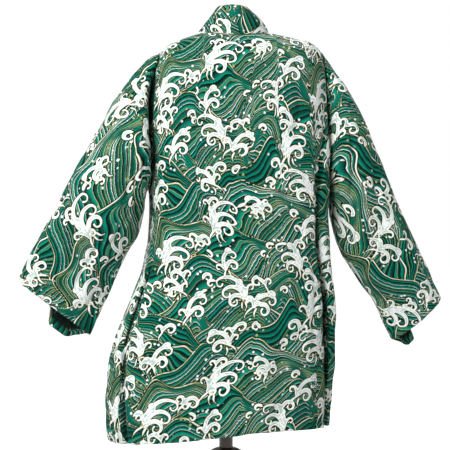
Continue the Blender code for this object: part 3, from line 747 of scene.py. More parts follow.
def front_grid(side):
    """From the side edge to the front edge."""
    whole = 2 * math.pi if side == "right" else 0
    return panel(
        lambda z: edge_turn(side, "front", z) - whole,
        lambda z: front_turn(side, "panel", z),
        False,
    )


# The sleeves' surface


def sleeve_points(side, turn, along):
    """One section of the sleeve. Near the armhole it keeps the armhole's own shape."""
    points = sleeve_ring(side, turn, along)
    fade = 1 - ease(along / np.array(ARMHOLE_FADE))
    if fade.max() > 0:
        points = points + (armhole(side, turn) - sleeve_ring(side, turn, 0.0)) * fade
    return points


def armhole(side, turn):
    """The armhole's outline: a turn of 180 degrees is the underarm, and 0 the shoulder."""
    edges = []
    for face in ("back", "front"):
        top = RIDGE["z"].max()
        for _ in range(PASSES):  # the shoulder's height depends on the place across, and that on the height
            top = float(read(RIDGE, "z", across(edge_turn(side, face, top), top)))
        z = UNDERARM_Z + (top - UNDERARM_Z) * (np.cos(turn) + 1) / 2
        edges.append(body(edge_turn(side, face, z), z))
    return np.where((turn < 0)[:, None], edges[1], edges[0]) + [SIGN[side] * ARMHOLE_SEAM, 0, 0]


def sleeve_ring(side, turn, along):
    """One section of the sleeve, without the armhole's own shape."""
    sign = SIGN[side]
    front = turn < 0
    sections = SLEEVES[side]
    upper, lower = (
        np.array([sign * read(sections, edge + "_x", along), 0, read(sections, edge + "_z", along)])
        for edge in ("upper", "lower")
    )
    reach = (upper - lower) / 2
    radius = np.linalg.norm(reach)
    outward = np.array([sign * reach[2], 0, -sign * reach[0]]) / radius
    depth = np.where(front, read(sections, "front", along), read(sections, "back", along))
    dip = sleeve_folds(side, turn, along, radius)
    hang = front * lip(side, np.cos(turn)) * read(sections, "overrun", along)
    return (
        (upper + lower) / 2
        + np.outer(np.cos(turn) * (1 - dip / radius), reach)
        + np.outer(np.sin(turn) * (depth - dip), [0, 1, 0])
        + np.outer(hang, outward)
    )


def lip(side, level):
    """Where the cuff's front layer hangs lower: over its lower half, level being 1 at the upper edge."""
    return ease((LIP_START[side] - level) / LIP_RISE) * ease((1 + level) / LIP_FALL)


def sleeve_folds(side, turn, along, radius):
    """How far the folds move the sleeve's cloth in."""
    total = np.zeros(len(turn))
    for start, turn_start, end, turn_end, depth, half_width in rows_of(SLEEVE_FOLDS[side]):
        t = (along - start) / (end - start)
        if not 0 < t < 1:
            continue
        line = math.radians(turn_start + (turn_end - turn_start) * t)
        fade = ease(t * FOLD_FADE) * ease((1 - t) * FOLD_FADE)
        total = total + fade * trough(turn, line, radius, depth, half_width)
    return total + ripple(turn, along * SLEEVE_LENGTH)


def sleeve_grid(side):
    """Sections from the armhole to the cuff, each from the underarm up the back and down the front."""
    steps = np.linspace(0, 1, DENSE)
    upper, lower = (
        np.stack([read(SLEEVES[side], edge + axis, steps) for axis in ("_x", "_z")], axis=-1)
        for edge in ("upper", "lower")
    )
    lengths = lengths_along((upper + lower) / 2)
    alongs = evenly(lengths, even_count(lengths[-1]), steps)
    turns = np.linspace(math.pi, -math.pi, 2 * DENSE)
    around = even_count(lengths_along(sleeve_points(side, turns, WIDEST_ALONG))[-1])
    grid = []
    for along in alongs:
        lengths = lengths_along(sleeve_points(side, turns, along))
        grid.append(sleeve_points(side, evenly(lengths, around, turns), along))
    return np.array(grid)


# The collar band


def band_grids(back, fronts):
    """The band's two halves, each from its hem up the front edge and round to the centre back.

    The stations are the panels' own points, so that the seams meet.
    """
    widths = np.linspace(0, 1, even_count(BAND_WIDTH) + 1)
    centre = int(np.argmin(np.abs(back[:, -1, 0] - NECK_X)))
    halves = {}
    for side, sign in SIGN.items():
        front = fronts[side][-1]
        lying = [front_station(side, base, front[-1, 2], widths) for base in front]
        around = back[: centre + 1, -1] if side == "left" else back[centre:, -1][::-1]
        places = sign * (around[:, 0] - NECK_X) / NECK_HALF_WIDTH
        neck = [
            standing(base, 2 / math.pi * math.asin(max(place, 0.0)), sign, widths)
            for base, place in zip(around, places)
            if place < NECK_END
        ]
        halves[side] = resampled(np.array([*lying, *neck]))
    return halves


def resampled(grid):
    """The grid with an even number of evenly spaced stations."""
    lengths = lengths_along(grid[:, 0])
    count = even_count(lengths[-1])
    flat = grid.reshape(len(grid), -1)
    even = np.stack([evenly(lengths, count, column) for column in flat.T], axis=-1)
    return even.reshape(count + 1, *grid.shape[1:])


def front_station(side, base, top, widths):
    """Points across the band at a front edge: standing at the neck, top, and flat on the chest."""
    station = 1 + min((top - base[2]) / (top - BAND_LIES_Z), 1.0)
    first, last = (front_turn(side, column, base[2]) for column in ("panel", "band"))
    lying = body(first + (last - first) * widths, base[2])
    share = ease(station - 1)
    return standing(base, station, SIGN[side], widths) * (1 - share) + lying * share


def standing(base, station, sign, widths):
    """Points across the band where it stands up from its seam."""
    inward, forward, up, bow = (read(BAND_STAND, name, station) for name in BAND_STAND if name != "station")
    lean = BAND_LEAN * (1 - ease(station))
    cross = np.array([lean - sign * inward, -forward, up])
    angle = math.pi / 2 * min(station, 1.0)
    outward = np.array([sign * math.sin(angle) * up, math.cos(angle) * up, inward])
    outward = outward / np.linalg.norm(outward)
    return base + np.outer(widths, cross) + np.outer(bow * np.sin(widths * math.pi), outward)


# Making sheets into meshes


def trimmed(grid, gaps):
    """The grid with its edges moved in: gaps are for its first and last columns, then for its rows."""
    grid = grid.copy()
    for lines, (first, last) in ((grid, gaps[:2]), (grid.swapaxes(0, 1), gaps[2:])):
        for edge, inner, gap in ((0, 1, first), (-1, -2, last)):
            step = lines[inner] - lines[edge]
            lines[edge] += step * (gap / np.linalg.norm(step, axis=-1))[:, None]
    return grid


def rolled(grid, normals, seams):
    """The grid with its seamed edges turned in. seams are for its first and last columns, then its rows."""
    across_it, up_it = distances(grid)
    away = (across_it, across_it[-1] - across_it, up_it, up_it[:, -1:] - up_it)
    dip = sum(np.exp(-((d / SEAM_REACH) ** 2)) for d, seamed in zip(away, seams) if seamed)
    return grid - normals * (ROLL * np.minimum(dip, 1.0))[..., None]


def distances(grid):
    """How far each point is from the first column, along its row, and from the first row."""
    across_it = np.linalg.norm(np.diff(grid, axis=0, prepend=grid[:1]), axis=-1).cumsum(axis=0)
    up_it = np.linalg.norm(np.diff(grid, axis=1, prepend=grid[:, :1]), axis=-1).cumsum(axis=1)
    return across_it, up_it


def normals_of(grid, middle):
    """Unit normals of a grid, on the side that looks away from its middle points."""
    normals = np.cross(np.gradient(grid, axis=0), np.gradient(grid, axis=1))
    normals = normals / np.maximum(np.linalg.norm(normals, axis=-1, keepdims=True), TINY)
    return normals if ((grid - middle) * normals).sum() > 0 else -normals


def boundary_of(count, rows):
    """The places of a grid's edge points, once round."""
    first = [(i, 0) for i in range(count - 1)]
    second = [(count - 1, j) for j in range(rows - 1)]
    third = [(i, rows - 1) for i in range(count - 1, 0, -1)]
    fourth = [(0, j) for j in range(rows - 1, 0, -1)]
    return np.array(first + second + third + fourth)


def quads(index):
    return np.stack([index[:-1, :-1], index[1:, :-1], index[1:, 1:], index[:-1, 1:]], -1).reshape(-1, 4)


def strip(near, far):
    """Faces between two rings of points. The near one may have a few points for each of the far one's."""
    step = len(near) // len(far)
    corners = [np.roll(near, -k)[::step] for k in range(step + 1)]
    return np.stack([*corners, np.roll(far, -1), far], -1)


class Sheet:
    """A sheet of cloth: a fine outer face, a coarser inner face and a round rim between them.

    Its points are the outer grid, then the inner one, then the rim's rings. The layout's points are
    the same and a last ring, because the inner face is laid out apart from the rim.
    """

    def __init__(self, grid, normals, wall, inner_scale):
        self.shape = grid.shape[:2]
        self.edge = boundary_of(*self.shape)
        self.rim = tuple(self.edge[::INNER_STEP].T)
        wall = np.broadcast_to(wall, self.shape)[..., None]
        away, self.way = self.outward(grid)
        normal, half = normals[self.rim], wall[self.rim] / 2
        rings = [
            grid[self.rim] + half * ((math.cos(angle) - 1) * normal + math.sin(angle) * away)
            for angle in RIM_ANGLES
        ]
        inner = (grid - normals * wall)[::INNER_STEP, ::INNER_STEP]
        self.inner_shape = inner.shape[:2]
        self.points = np.concatenate([grid.reshape(-1, 3), inner.reshape(-1, 3), *rings])
        self.layout = self.laid_out(grid, inner_scale)
        self.faces, self.laid_faces = self.joined()

    def outward(self, grid):
        """The rim's unit directions away from the sheet, in space, and its directions in the layout."""
        away = np.zeros(grid.shape)
        way = np.zeros((*self.shape, 2))
        for at, inner, axis, sign in ((0, 1, 0, -1), (-1, -2, 0, 1), (0, 1, 1, -1), (-1, -2, 1, 1)):
            lines = grid.swapaxes(0, axis)
            away.swapaxes(0, axis)[at] += lines[at] - lines[inner]
            way.swapaxes(0, axis)[at, :, axis] += sign
        away = away[self.rim]
        return away / np.linalg.norm(away, axis=-1, keepdims=True), way[self.rim]

    def laid_out(self, grid, inner_scale):
        """Flat places for the outer grid, the inner grid beside it, and the rim's rings round the first."""
        across_it, up_it = distances(grid)
        size = np.array([across_it[-1].mean(), up_it[:, -1].mean()])
        steps = [np.linspace(0, length, count) for length, count in zip(size, self.shape)]
        laid = np.stack(np.meshgrid(*steps, indexing="ij"), -1)
        beside = [size[0] + LAYOUT_GAP, 0] if size[0] < size[1] else [0, size[1] + LAYOUT_GAP]
        inner = laid[::INNER_STEP, ::INNER_STEP] * inner_scale + beside
        rings = [laid[self.rim] + self.way * LAYOUT_RIM * (k + 1) for k in range(len(RIM_ANGLES) + 1)]
        return np.concatenate([laid.reshape(-1, 2), inner.reshape(-1, 2), *rings])

    def joined(self):
        """The faces by the numbers of their points, in space and in the layout."""
        outer = np.arange(math.prod(self.shape)).reshape(self.shape)
        inner = outer.size + np.arange(math.prod(self.inner_shape)).reshape(self.inner_shape)
        count = len(self.rim[0])
        start = outer.size + inner.size
        loops = [start + count * k + np.arange(count) for k in range(len(RIM_ANGLES) + 1)]
        last = inner[self.rim[0] // INNER_STEP, self.rim[1] // INNER_STEP]
        nears = [outer[tuple(self.edge.T)], *loops[:-1]]
        joined = []
        for fars in ([*loops[:-1], last], loops):
            groups = [quads(outer), quads(inner), *map(strip, nears, fars)]
            joined.append([face for group in groups for face in group.tolist()])
        return joined

    def spread(self, outer, inner=None):
        """A value for each of the sheet's points, from the outer grid's and, where given, the inner's."""
        inner = outer if inner is None else inner
        rings = [outer[self.rim]] * len(RIM_ANGLES)
        return np.concatenate([outer.ravel(), inner[::INNER_STEP, ::INNER_STEP].ravel(), *rings])


def piece_of(data, name, finish):
    """A piece from a mesh, with its faces turned outwards."""
    mesh = bmesh.new()
    mesh.from_mesh(data)
    bmesh.ops.recalc_face_normals(mesh, faces=mesh.faces)
    mesh.to_mesh(data)
    mesh.free()
    data.shade_smooth()
    data.materials.append(finish)
    piece = bpy.data.objects.new(name, data)
    bpy.context.collection.objects.link(piece)
    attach(piece, "root")
    return piece


def cloth(name, sheets, values, finish):
    """One piece made of sheets. values are the numbers that its finish reads, for each point."""
    points, faces, layout = [], [], []
    start = 0
    top = 0.0
    for sheet in sheets:
        faces += [[start + i for i in face] for face in sheet.faces]
        shift = [LAYOUT_MARGIN, top + LAYOUT_MARGIN]
        layout += [sheet.layout[i] + shift for face in sheet.laid_faces for i in face]
        top += sheet.layout[:, 1].max() + LAYOUT_GAP
        points.append(sheet.points)
        start += len(sheet.points)
    data = bpy.data.meshes.new(name)
    data.from_pydata(np.concatenate(points).tolist(), [], faces)
    layout = np.array(layout)
    layer = data.uv_layers.new(name="OFBake")
    layer.data.foreach_set("uv", (layout / (layout.max() + LAYOUT_MARGIN)).ravel())
    for key, value in values.items():
        kind, field = ("FLOAT", "value") if value.ndim == 1 else ("FLOAT_VECTOR", "vector")
        attribute = data.attributes.new(key, kind, "POINT")
        attribute.data.foreach_set(field, value.astype(np.float32).ravel())
    return piece_of(data, name, finish)


# The print: rolling water and foam, worked out on a raster of one repeat and read off at each point


def waves(source, u, v):
    return sum(
        height * np.sin(2 * math.pi * (periods_u * u / TILE_U + periods_v * v / TILE_V) + phase)
        for height, periods_u, periods_v, phase in rows_of(source)
    )


def hills():
    """For each millimetre of the repeat: which strand of water it lies on, how far the nearest crest
    line is, and how wide the strands are there."""
    v, u = np.mgrid[0:TILE_V, 0:TILE_U].astype(float)
    u, v = u + waves(SWAY, u, v), v + waves(LIFT, u, v)
    strand = np.zeros(u.shape)
    near = np.full(u.shape, FAR)
    room = np.zeros(u.shape)
    rows = list(rows_of(HILLS))
    line = np.arange(*LINE_U)
    laps = [(row[1] + lap * TILE_V, i) for lap in LAPS_V for i, row in enumerate(rows)]
    for foot, i in sorted(laps, reverse=True):
        base_u, _, half_width, height, lean, spacing = rows[i]
        for lap in LAPS_U:
            crest = crest_line((line - base_u - lap * TILE_U) / half_width, foot, height, lean)
            depth = np.interp(u, line, crest) - v
            away = depth / np.sqrt(1 + np.interp(u, line, np.gradient(crest)) ** 2)
            shear = math.copysign(SHEAR, lean)
            down = np.interp(u + shear * v, np.maximum.accumulate(line + shear * crest), crest) - v
            count = down / spacing + WANDER * np.sin(down / WANDER_LENGTH + i)
            inside = depth > 0
            near = np.where(inside, away, np.minimum(near, -away))
            strand = np.where(inside, count + STRANDS * (i + 1), strand)
            room = np.where(inside, 1 / np.maximum(np.hypot(*np.gradient(count)), FINEST), room)
    return strand, near, room


def crest_line(x, foot, height, lean):
    """A hill's height along its crest line, x being in half widths from its middle."""
    bell = np.exp(-HILL_STEEPNESS * (x + lean * np.clip(1 - x**2, 0, 1)) ** 2)
    crest = foot + height * bell - HILL_FALL * np.clip(np.abs(x) - HILL_SHOULDER, 0, None) ** 2
    return np.maximum(crest, foot - HILL_DEPTH)


def finger(start_u, start_v, heading, length, turns, curl, around, foot, tip, way):
    """The middle line and half width of a finger of foam, and where its curl begins."""
    lead = int(length / STEP)
    lean = np.linspace(0, 1, lead)
    angles = heading + turns * ease(lean) * lean
    turned = 0.0
    hook = []
    while turned < around:
        radius = OPEN * abs(curl) * (1 - CURL_CLOSES * turned / around)
        turned += math.degrees(STEP / radius)
        hook.append(angles[-1] + math.copysign(turned, curl))
    angles = np.radians(np.concatenate([angles, hook]))
    u = start_u + np.cumsum(np.cos(angles)) * STEP
    v = start_v + np.cumsum(np.sin(angles)) * STEP
    at = np.arange(len(angles))
    swell = ease(at / lead / TAIL)
    thinned = 1 - ease((at / at[-1] - THINS_FROM) / THINS_OVER)
    half = TAIL_HALF_WIDTH + swell * (foot * thinned + CURL_SHARE * tip)
    half = half + KNOB * tip * np.exp(-(((at[-1] - at) * STEP / KNOB_REACH) ** 2))
    return way * u, v, SLIM * half, lead


def foam():
    """The signed distance to the foam's edge, negative inside, and how far the lines drawn in it are."""
    field = np.full((TILE_V, TILE_U), FAR)
    line = np.full((TILE_V, TILE_U), FAR)
    for kind, places in FOAM.items():
        for base_u, base_v, size, turned, way in rows_of(places):
            c, s = math.cos(math.radians(turned)), math.sin(math.radians(turned))
            for row in rows_of(CRESTS[kind]):
                u, v, half, lead = finger(*row, way)
                u, v = base_u + size * (c * u - s * v), base_v + size * (s * u + c * v)
                spans = [slice(int(w.min()) - REACH, int(w.max()) + REACH + 1) for w in (v, u)]
                gv, gu = np.mgrid[tuple(spans)]
                gap = np.hypot(gu[..., None] - u, gv[..., None] - v) - size * half
                hook = gap[..., lead:].min(axis=-1)
                gap = gap.min(axis=-1)
                at = (gv % TILE_V, gu % TILE_U)
                crossing = np.maximum(np.abs(gap), field[at] + OVERLAP)
                line[at] = np.minimum(np.where(gap < 0, np.abs(gap + CONTOUR), line[at]), crossing)
                field[at] = np.minimum(np.maximum(field[at], MOAT - hook), gap)
    return field, line


def sample(field, u, v):
    """The field at places in millimetres. The repeat carries on without end."""
    left, low = np.floor(u).astype(int), np.floor(v).astype(int)
    along, up = u - left, v - low
    columns = [(left + step) % TILE_U for step in (0, 1)]
    rows = [(low + step) % TILE_V for step in (0, 1)]
    below, above = (field[row, columns[0]] * (1 - along) + field[row, columns[1]] * along for row in rows)
    return below * (1 - up) + above * up


def nearest(field, u, v):
    """The field's value at the nearest whole millimetre, for values that jump from strand to strand."""
    return field[np.rint(v).astype(int) % TILE_V, np.rint(u).astype(int) % TILE_U]


def print_values(sheets, places, reverses):
    """What the print's finish reads at each point of the sheets. places are (u, v) grids in metres."""
    fields = {
        "foam": (sample, FOAM_EDGE),
        "foam_line": (sample, FOAM_LINE),
        "strand": (nearest, STRAND),
        "crest": (sample, CREST),
        "room": (sample, ROOM),
    }
    values = {key: [] for key in (*fields, "reverse", "print_place")}
    for sheet, (u, v), reverse in zip(sheets, places, reverses):
        for key, (look_up, field) in fields.items():
            values[key].append(sheet.spread(look_up(field, u * MILLIMETRES, v * MILLIMETRES)))
        values["reverse"].append(sheet.spread(np.zeros(u.shape), reverse))
        values["print_place"].append(np.stack([sheet.spread(w) for w in (u, v, 0 * u)], -1))
    return {key: np.concatenate(parts) for key, parts in values.items()}


# Finishes


class Nodes:
    """Short ways to add nodes to a finish or to the sky."""

    def __init__(self, owner, shader="Principled BSDF"):
        owner.use_nodes = True
        self.owner = owner
        self.tree = owner.node_tree
        self.shader = self.tree.nodes[shader]

    def fill(self, node, values):
        """Sets or links a node's inputs, by name or number."""
        for key, value in values.items():
            if isinstance(value, (int, float, tuple)):
                node.inputs[key].default_value = value
            else:
                self.tree.links.new(value, node.inputs[key])
        return node

    def add(self, kind, values, **settings):
        node = self.tree.nodes.new("ShaderNode" + kind)
        for key, value in settings.items():
            setattr(node, key, value)
        return self.fill(node, values)

    def shaded(self, values):
        """Fills the shader's inputs, and returns what the nodes belong to."""
        self.fill(self.shader, values)
        return self.owner

    def attribute(self, name, output="Fac"):
        return self.add("Attribute", {}, attribute_name=name).outputs[output]

    def math(self, operation, *values):
        return self.add("Math", dict(enumerate(values)), operation=operation).outputs[0]

    def ramp(self, value, low, high):
        """0 where the value is at low or below, 1 at high or above."""
        falling = low > high
        limits = {
            "Value": value,
            "From Min": high if falling else low,
            "From Max": low if falling else high,
            "To Min": 1.0 if falling else 0.0,
            "To Max": 0.0 if falling else 1.0,
        }
        return self.add("MapRange", limits, interpolation_type="SMOOTHSTEP").outputs["Result"]

    def mix(self, share, first, second):
        return self.add("Mix", {0: share, 6: first, 7: second}, data_type="RGBA").outputs[2]

    def inked(self, colour, value, lines):
        """The colour under lines of ink, which cover it by the value."""
        for ink, shows, covers in lines:
            colour = self.mix(self.ramp(value, shows, covers), colour, INKS[ink])
        return colour

    def noise(self, place, scale, detail):
        values = {"Scale": scale, "Detail": detail, "Vector": place}
        return self.add("TexNoise", values).outputs["Fac"]

    def stretched(self, scales):
        """The place on the object, in metres, with each axis scaled."""
        place = self.add("TexCoord", {}).outputs["Object"]
        return self.add("VectorMath", {0: place, 1: scales}, operation="MULTIPLY").outputs[0]

    def parts(self, colour):
        return list(self.add("SeparateColor", {0: colour}).outputs)

    def random(self, value):
        """Three random numbers for each whole value."""
        whole = {"W": self.math("FLOOR", value)}
        return self.parts(self.add("TexWhiteNoise", whole, noise_dimensions="1D").outputs["Color"])

    def bump(self, height, distance, strength, **under):
        """A normal with a height, in metres, laid over the one under it."""
        values = {"Distance": distance, "Strength": strength, "Height": height, **under}
        return self.add("Bump", values).outputs["Normal"]


def linear(red, green, blue):
    """A screen colour, from 0 to 255, as the light it stands for."""
    share = np.array([red, green, blue]) / 255
    light = np.where(share <= 0.04045, share / 12.92, ((share + 0.055) / 1.055) ** 2.4)
    return (*light.tolist(), 1.0)


INKS = {
    "dark": linear(2, 24, 18),
    "deep": linear(2, 36, 29),
    "green": linear(2, 78, 64),
    "teal": linear(6, 164, 136),
    "white": linear(250, 252, 250),
    "gold": linear(178, 182, 116),
    "pale": linear(60, 152, 134),
    # the cloth's inside: a dark reverse, made near black as painted shade
    "reverse": linear(14, 22, 19),
    "linen": linear(206, 194, 170),
    "linen_dark": linear(150, 136, 112),
    "wood": linear(36, 20, 14),
    "wood_light": linear(68, 40, 26),
    "wood_dark": linear(18, 11, 8),
}


def water(n, strand, room):
    """Each strand's own green, dark at one edge, with lines along its edge and its middle."""
    first, second, third = n.random(strand)
    along = n.math("FRACT", strand)
    lit = n.math("MULTIPLY", n.ramp(along, *LIT), n.math("MULTIPLY_ADD", second, 1 - LIT_LEAST, LIT_LEAST))
    colour = n.mix(lit, n.mix(first, INKS["deep"], INKS["green"]), INKS["teal"])
    colour = n.mix(n.ramp(along, *SHADED), colour, INKS["dark"])

    wide_enough = n.ramp(room, *WIDE_ENOUGH)
    line = n.mix(n.ramp(first, *WHITE_LINES), INKS["dark"], INKS["white"])
    line = n.mix(n.ramp(first, *GOLD_LINES), line, INKS["gold"])
    edge = n.math("MULTIPLY", n.math("PINGPONG", strand, 0.5), room)
    colour = n.mix(n.math("MULTIPLY", n.ramp(edge, *LINE_EDGE), wide_enough), colour, line)
    middle = n.math("MULTIPLY", n.math("ABSOLUTE", n.math("SUBTRACT", along, MIDDLE)), room)
    drawn = n.math("MULTIPLY", n.ramp(middle, *MIDDLE_EDGE), n.ramp(third, *MIDDLE_LINES))
    line = n.mix(n.ramp(third, *MIDDLE_GOLD), INKS["dark"], INKS["gold"])
    return n.mix(n.math("MULTIPLY", drawn, wide_enough), colour, line)


def spray(n, colour, place, foam_edge):
    """The colour under drops scattered round the foam."""
    dots = n.add("TexVoronoi", {"Scale": 1 / SPRAY_SPACING, "Vector": place})
    chance = n.parts(dots.outputs["Color"])
    near_foam = n.math("MULTIPLY", *(n.ramp(foam_edge, *limits) for limits in SPRAY_NEAR))
    shown = n.math("MULTIPLY", near_foam, n.ramp(chance[0], *SPRAY_CHANCE))
    dot = n.math("MULTIPLY", n.ramp(dots.outputs["Distance"], *SPRAY_EDGE), shown)
    return n.mix(dot, colour, n.mix(n.ramp(chance[1], *SPRAY_GOLD), INKS["white"], INKS["gold"]))


def weave(n, place):
    """The cotton's threads and its slight unevenness, as a normal."""
    parts = n.add("SeparateXYZ", {0: place}).outputs
    threads = [n.math("SINE", n.math("MULTIPLY", parts[i], math.tau / THREAD)) for i in (0, 1)]
    normal = n.bump(n.math("MULTIPLY", *threads), distance=0.0001, strength=0.35)
    slubs = n.noise(place, scale=140.0, detail=3.0)
    normal = n.bump(slubs, distance=0.0006, strength=0.35, Normal=normal)
    creases = n.noise(place, scale=38.0, detail=2.0)
    return n.bump(creases, distance=0.0016, strength=0.5, Normal=normal)


def print_finish():
    """Printed cotton: hills of water in strands, foam with curled fingers, and spray; its inside is near
    black, a dark reverse that is partly painted shade.
    """
    n = Nodes(bpy.data.materials.new("print_cotton"))
    foam_edge, place = n.attribute("foam"), n.attribute("print_place", "Vector")
    colour = water(n, n.attribute("strand"), n.attribute("room"))
    colour = n.inked(colour, n.attribute("crest"), CREST_LINES)
    colour = spray(n, colour, place, foam_edge)
    colour = n.inked(colour, foam_edge, FOAM_LINES)
    line = n.ramp(n.attribute("foam_line"), *FOAM_SHADE_EDGE)
    shade = n.math("MULTIPLY", line, n.ramp(foam_edge, *FOAM_INSIDE))
    colour = n.mix(n.math("MULTIPLY", shade, FOAM_SHADE), colour, INKS["pale"])

    worn = n.ramp(n.noise(place, scale=9.0, detail=3.0), *WORN)
    colour = n.mix(worn, colour, n.mix(WORN_SHARE, colour, INKS["dark"]))
    # The inside takes a near-black colour: a dark reverse, darkened further as painted shade.
    shaded_inside = n.mix(INSIDE_SHADE_SHARE, colour, INKS["reverse"])
    return n.shaded({
        "Base Color": n.mix(n.attribute("reverse"), colour, shaded_inside),
        "Roughness": 0.82,
        "Specular IOR Level": 0.08,
        "Sheen Weight": 0.03,
        "Sheen Roughness": 0.45,
        "Normal": weave(n, place),
    })


def linen_finish():
    """The form's cover: a natural linen with slubs in its weave."""
    n = Nodes(bpy.data.materials.new("linen"))
    threads = n.math("ADD", *(n.noise(n.stretched(run), scale=1.0, detail=2.0) for run in LINEN_THREADS))
    worn = n.ramp(n.noise(n.stretched(LINEN_WEAR), scale=1.0, detail=3.0), low=0.35, high=0.75)
    colour = n.mix(n.ramp(threads, low=0.75, high=1.25), INKS["linen_dark"], INKS["linen"])
    return n.shaded({
        "Base Color": n.mix(worn, colour, n.mix(LINEN_WORN_SHARE, colour, INKS["linen_dark"])),
        "Roughness": 0.88,
        "Sheen Weight": 0.10,
        "Sheen Roughness": 0.50,
        "Normal": n.bump(threads, distance=0.0003, strength=0.5),
    })


def wood_finish(name, scales):
    """Dark stained wood under satin varnish, its grain running along the smallest scale."""
    n = Nodes(bpy.data.materials.new(name))
    grain = n.noise(n.stretched(scales), scale=1.0, detail=6.0)
    pores = n.noise(n.stretched(scales), scale=4.0, detail=2.0)
    colour = n.mix(n.ramp(grain, low=0.35, high=0.68), INKS["wood"], INKS["wood_light"])
    return n.shaded({
        "Base Color": n.inked(colour, pores, WOOD_PORES),
        "Roughness": n.math("MULTIPLY_ADD", grain, *WOOD_ROUGHNESS),
        "Coat Weight": 0.15,
        "Coat Roughness": 0.18,
        "Normal": n.bump(pores, distance=0.0003, strength=0.25),
    })


# The jacket


def upright_middle(grid):
    """The jacket's upright middle line, at each point's own height."""
    return grid * [0, 0, 1] + [NECK_X, 0, 0]


def panel_piece(name, grid, finish, origin, way, shift):
    """One panel. Its print starts from the origin, one of its columns, and runs the given way."""
    half = WALL / 2 + SEAM
    normals = normals_of(grid, upright_middle(grid))
    across_it, up_it = distances(grid)
    level = np.array([np.interp(PRINT_LEVEL_Z, z, up) for z, up in zip(grid[:, :, 2], up_it)])
    place = (way * (across_it - across_it[origin]) + shift, up_it - level[:, None] + PRINT_LEVEL_Z)
    turned_up = ease((HEM_TURN - up_it) / HEM_EDGE)
    grid = rolled(trimmed(grid, (half, half, WALL / 2, half)), normals, (True, True, False, True))
    sheet = Sheet(grid, normals, WALL + HEM_WALL * turned_up, INNER_SCALE)
    return cloth(name + "_cloth", [sheet], print_values([sheet], [place], [1 - turned_up]), finish)


def flat_sleeve(grid, round_it, side):
    """Where the sleeve's points lie when it is flat: both layers opened out about its upper fold."""
    sign = SIGN[side]
    fold = grid.shape[1] // 2
    upper, lower = grid[:, fold][:, [0, 2]], grid[:, 0][:, [0, 2]]
    along = (upper[-1] - upper[0]) / np.linalg.norm(upper[-1] - upper[0])
    beside = sign * np.array([-along[1], along[0]])
    way = (lower - upper) / np.linalg.norm(lower - upper, axis=-1, keepdims=True)
    around = round_it - round_it[:, fold : fold + 1]
    steps = np.diff(grid, axis=0)
    hidden = np.linalg.norm(steps, axis=-1) - np.linalg.norm(steps[..., [0, 2]], axis=-1)
    from_cuff = np.concatenate([hidden[::-1].cumsum(axis=0)[::-1], 0 * hidden[:1]])
    u = (upper @ along)[:, None] + (way @ along)[:, None] * np.abs(around) - from_cuff
    v = (upper @ beside)[:, None] - (way @ beside)[:, None] * around
    return -sign * u, v


def sleeve_piece(side, finish):
    """One sleeve, from its armhole to its open cuff."""
    grid = sleeve_grid(side)
    half = WALL / 2 + SEAM
    normals = normals_of(grid, grid.mean(axis=1, keepdims=True))
    along_it, round_it = distances(grid)
    flat = flat_sleeve(grid, round_it, side)
    place = [w + shift for w, shift in zip(flat, PRINT_SHIFT["sleeve_" + side])]
    turned_in = ease((CUFF_TURN - (along_it[-1] - along_it)) / HEM_EDGE)
    grid = rolled(trimmed(grid, (half, WALL / 2, half, half)), normals, (True, False, True, True))
    sheet = Sheet(grid, normals, WALL + HEM_WALL * turned_in, INNER_SCALE)
    values = print_values([sheet], [place], [1 - turned_in])
    return cloth("sleeve_" + side + "_cloth", [sheet], values, finish)


def band_piece(back, fronts, finish):
    """The collar band, in two halves that meet at the centre back."""
    half = BAND_WALL / 2
    sheets, places, reverses = [], [], []
    for side, grid in band_grids(back, fronts).items():
        normals = normals_of(grid, upright_middle(grid))
        along_it, across_it = distances(grid)
        shift_u, shift_v = PRINT_SHIFT["band_" + side]
        places.append((shift_u - SIGN[side] * across_it, along_it + shift_v))
        grid = trimmed(grid, (half, SEAM / 2, half + SEAM, half))
        sheets.append(Sheet(grid, normals, BAND_WALL, 1.0))
        reverses.append(np.zeros(along_it.shape))
    return cloth("collar_band_cloth", sheets, print_values(sheets, places, reverses), finish)


def build_jacket():
    finish = print_finish()
    back = back_grid()
    fronts = {side: front_grid(side) for side in SIGN}
    middle = len(back) // 2
    pieces = {"back_panel": panel_piece("back_panel", back, finish, middle, 1, PRINT_SHIFT["back"])}
    for side, sign in SIGN.items():
        front, sleeve = "front_panel_" + side, "sleeve_" + side
        pieces[front] = panel_piece(front, fronts[side], finish, -1, -sign, PRINT_SHIFT["front_" + side])
        pieces[sleeve] = sleeve_piece(side, finish)
    pieces["collar_band"] = band_piece(back, fronts, finish)
    for node, piece in pieces.items():
        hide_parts(node)


# The form and its stand


def solid(name, node, points, faces, finish):
    """A piece that stands for a node."""
    data = bpy.data.meshes.new(name)
    data.from_pydata([tuple(map(float, p)) for p in points], [], faces)
    made = piece_of(data, name, finish)
    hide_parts(node)
    return made


def rings_of(rings, count):
    """Faces between rings of points, each as many."""
    index = np.arange(rings * count).reshape(rings, count)
    index = np.concatenate([index, index[:, :1]], axis=1)
    return quads(index).tolist()


def form_ridge(share):
    """The height of the form's shoulder line at each place across it, under the jacket's."""
    x = FORM_X + read(FORM, "half", FORM["z"][-1]) * share
    middle, half = middle_and_half(BODY["z"][-1])
    in_neck = ease((NECK_HALF_WIDTH + NECK_ZONE - np.abs(x - NECK_X)) / NECK_ZONE_FADE)
    ridge = read(RIDGE, "z", (x - middle) / half) - WALL - FORM_CLEARANCE
    return ridge - FORM_SHOULDER_DROP * np.abs(share) ** FORM_DROP_POWER - FORM_NECK_DROP * in_neck


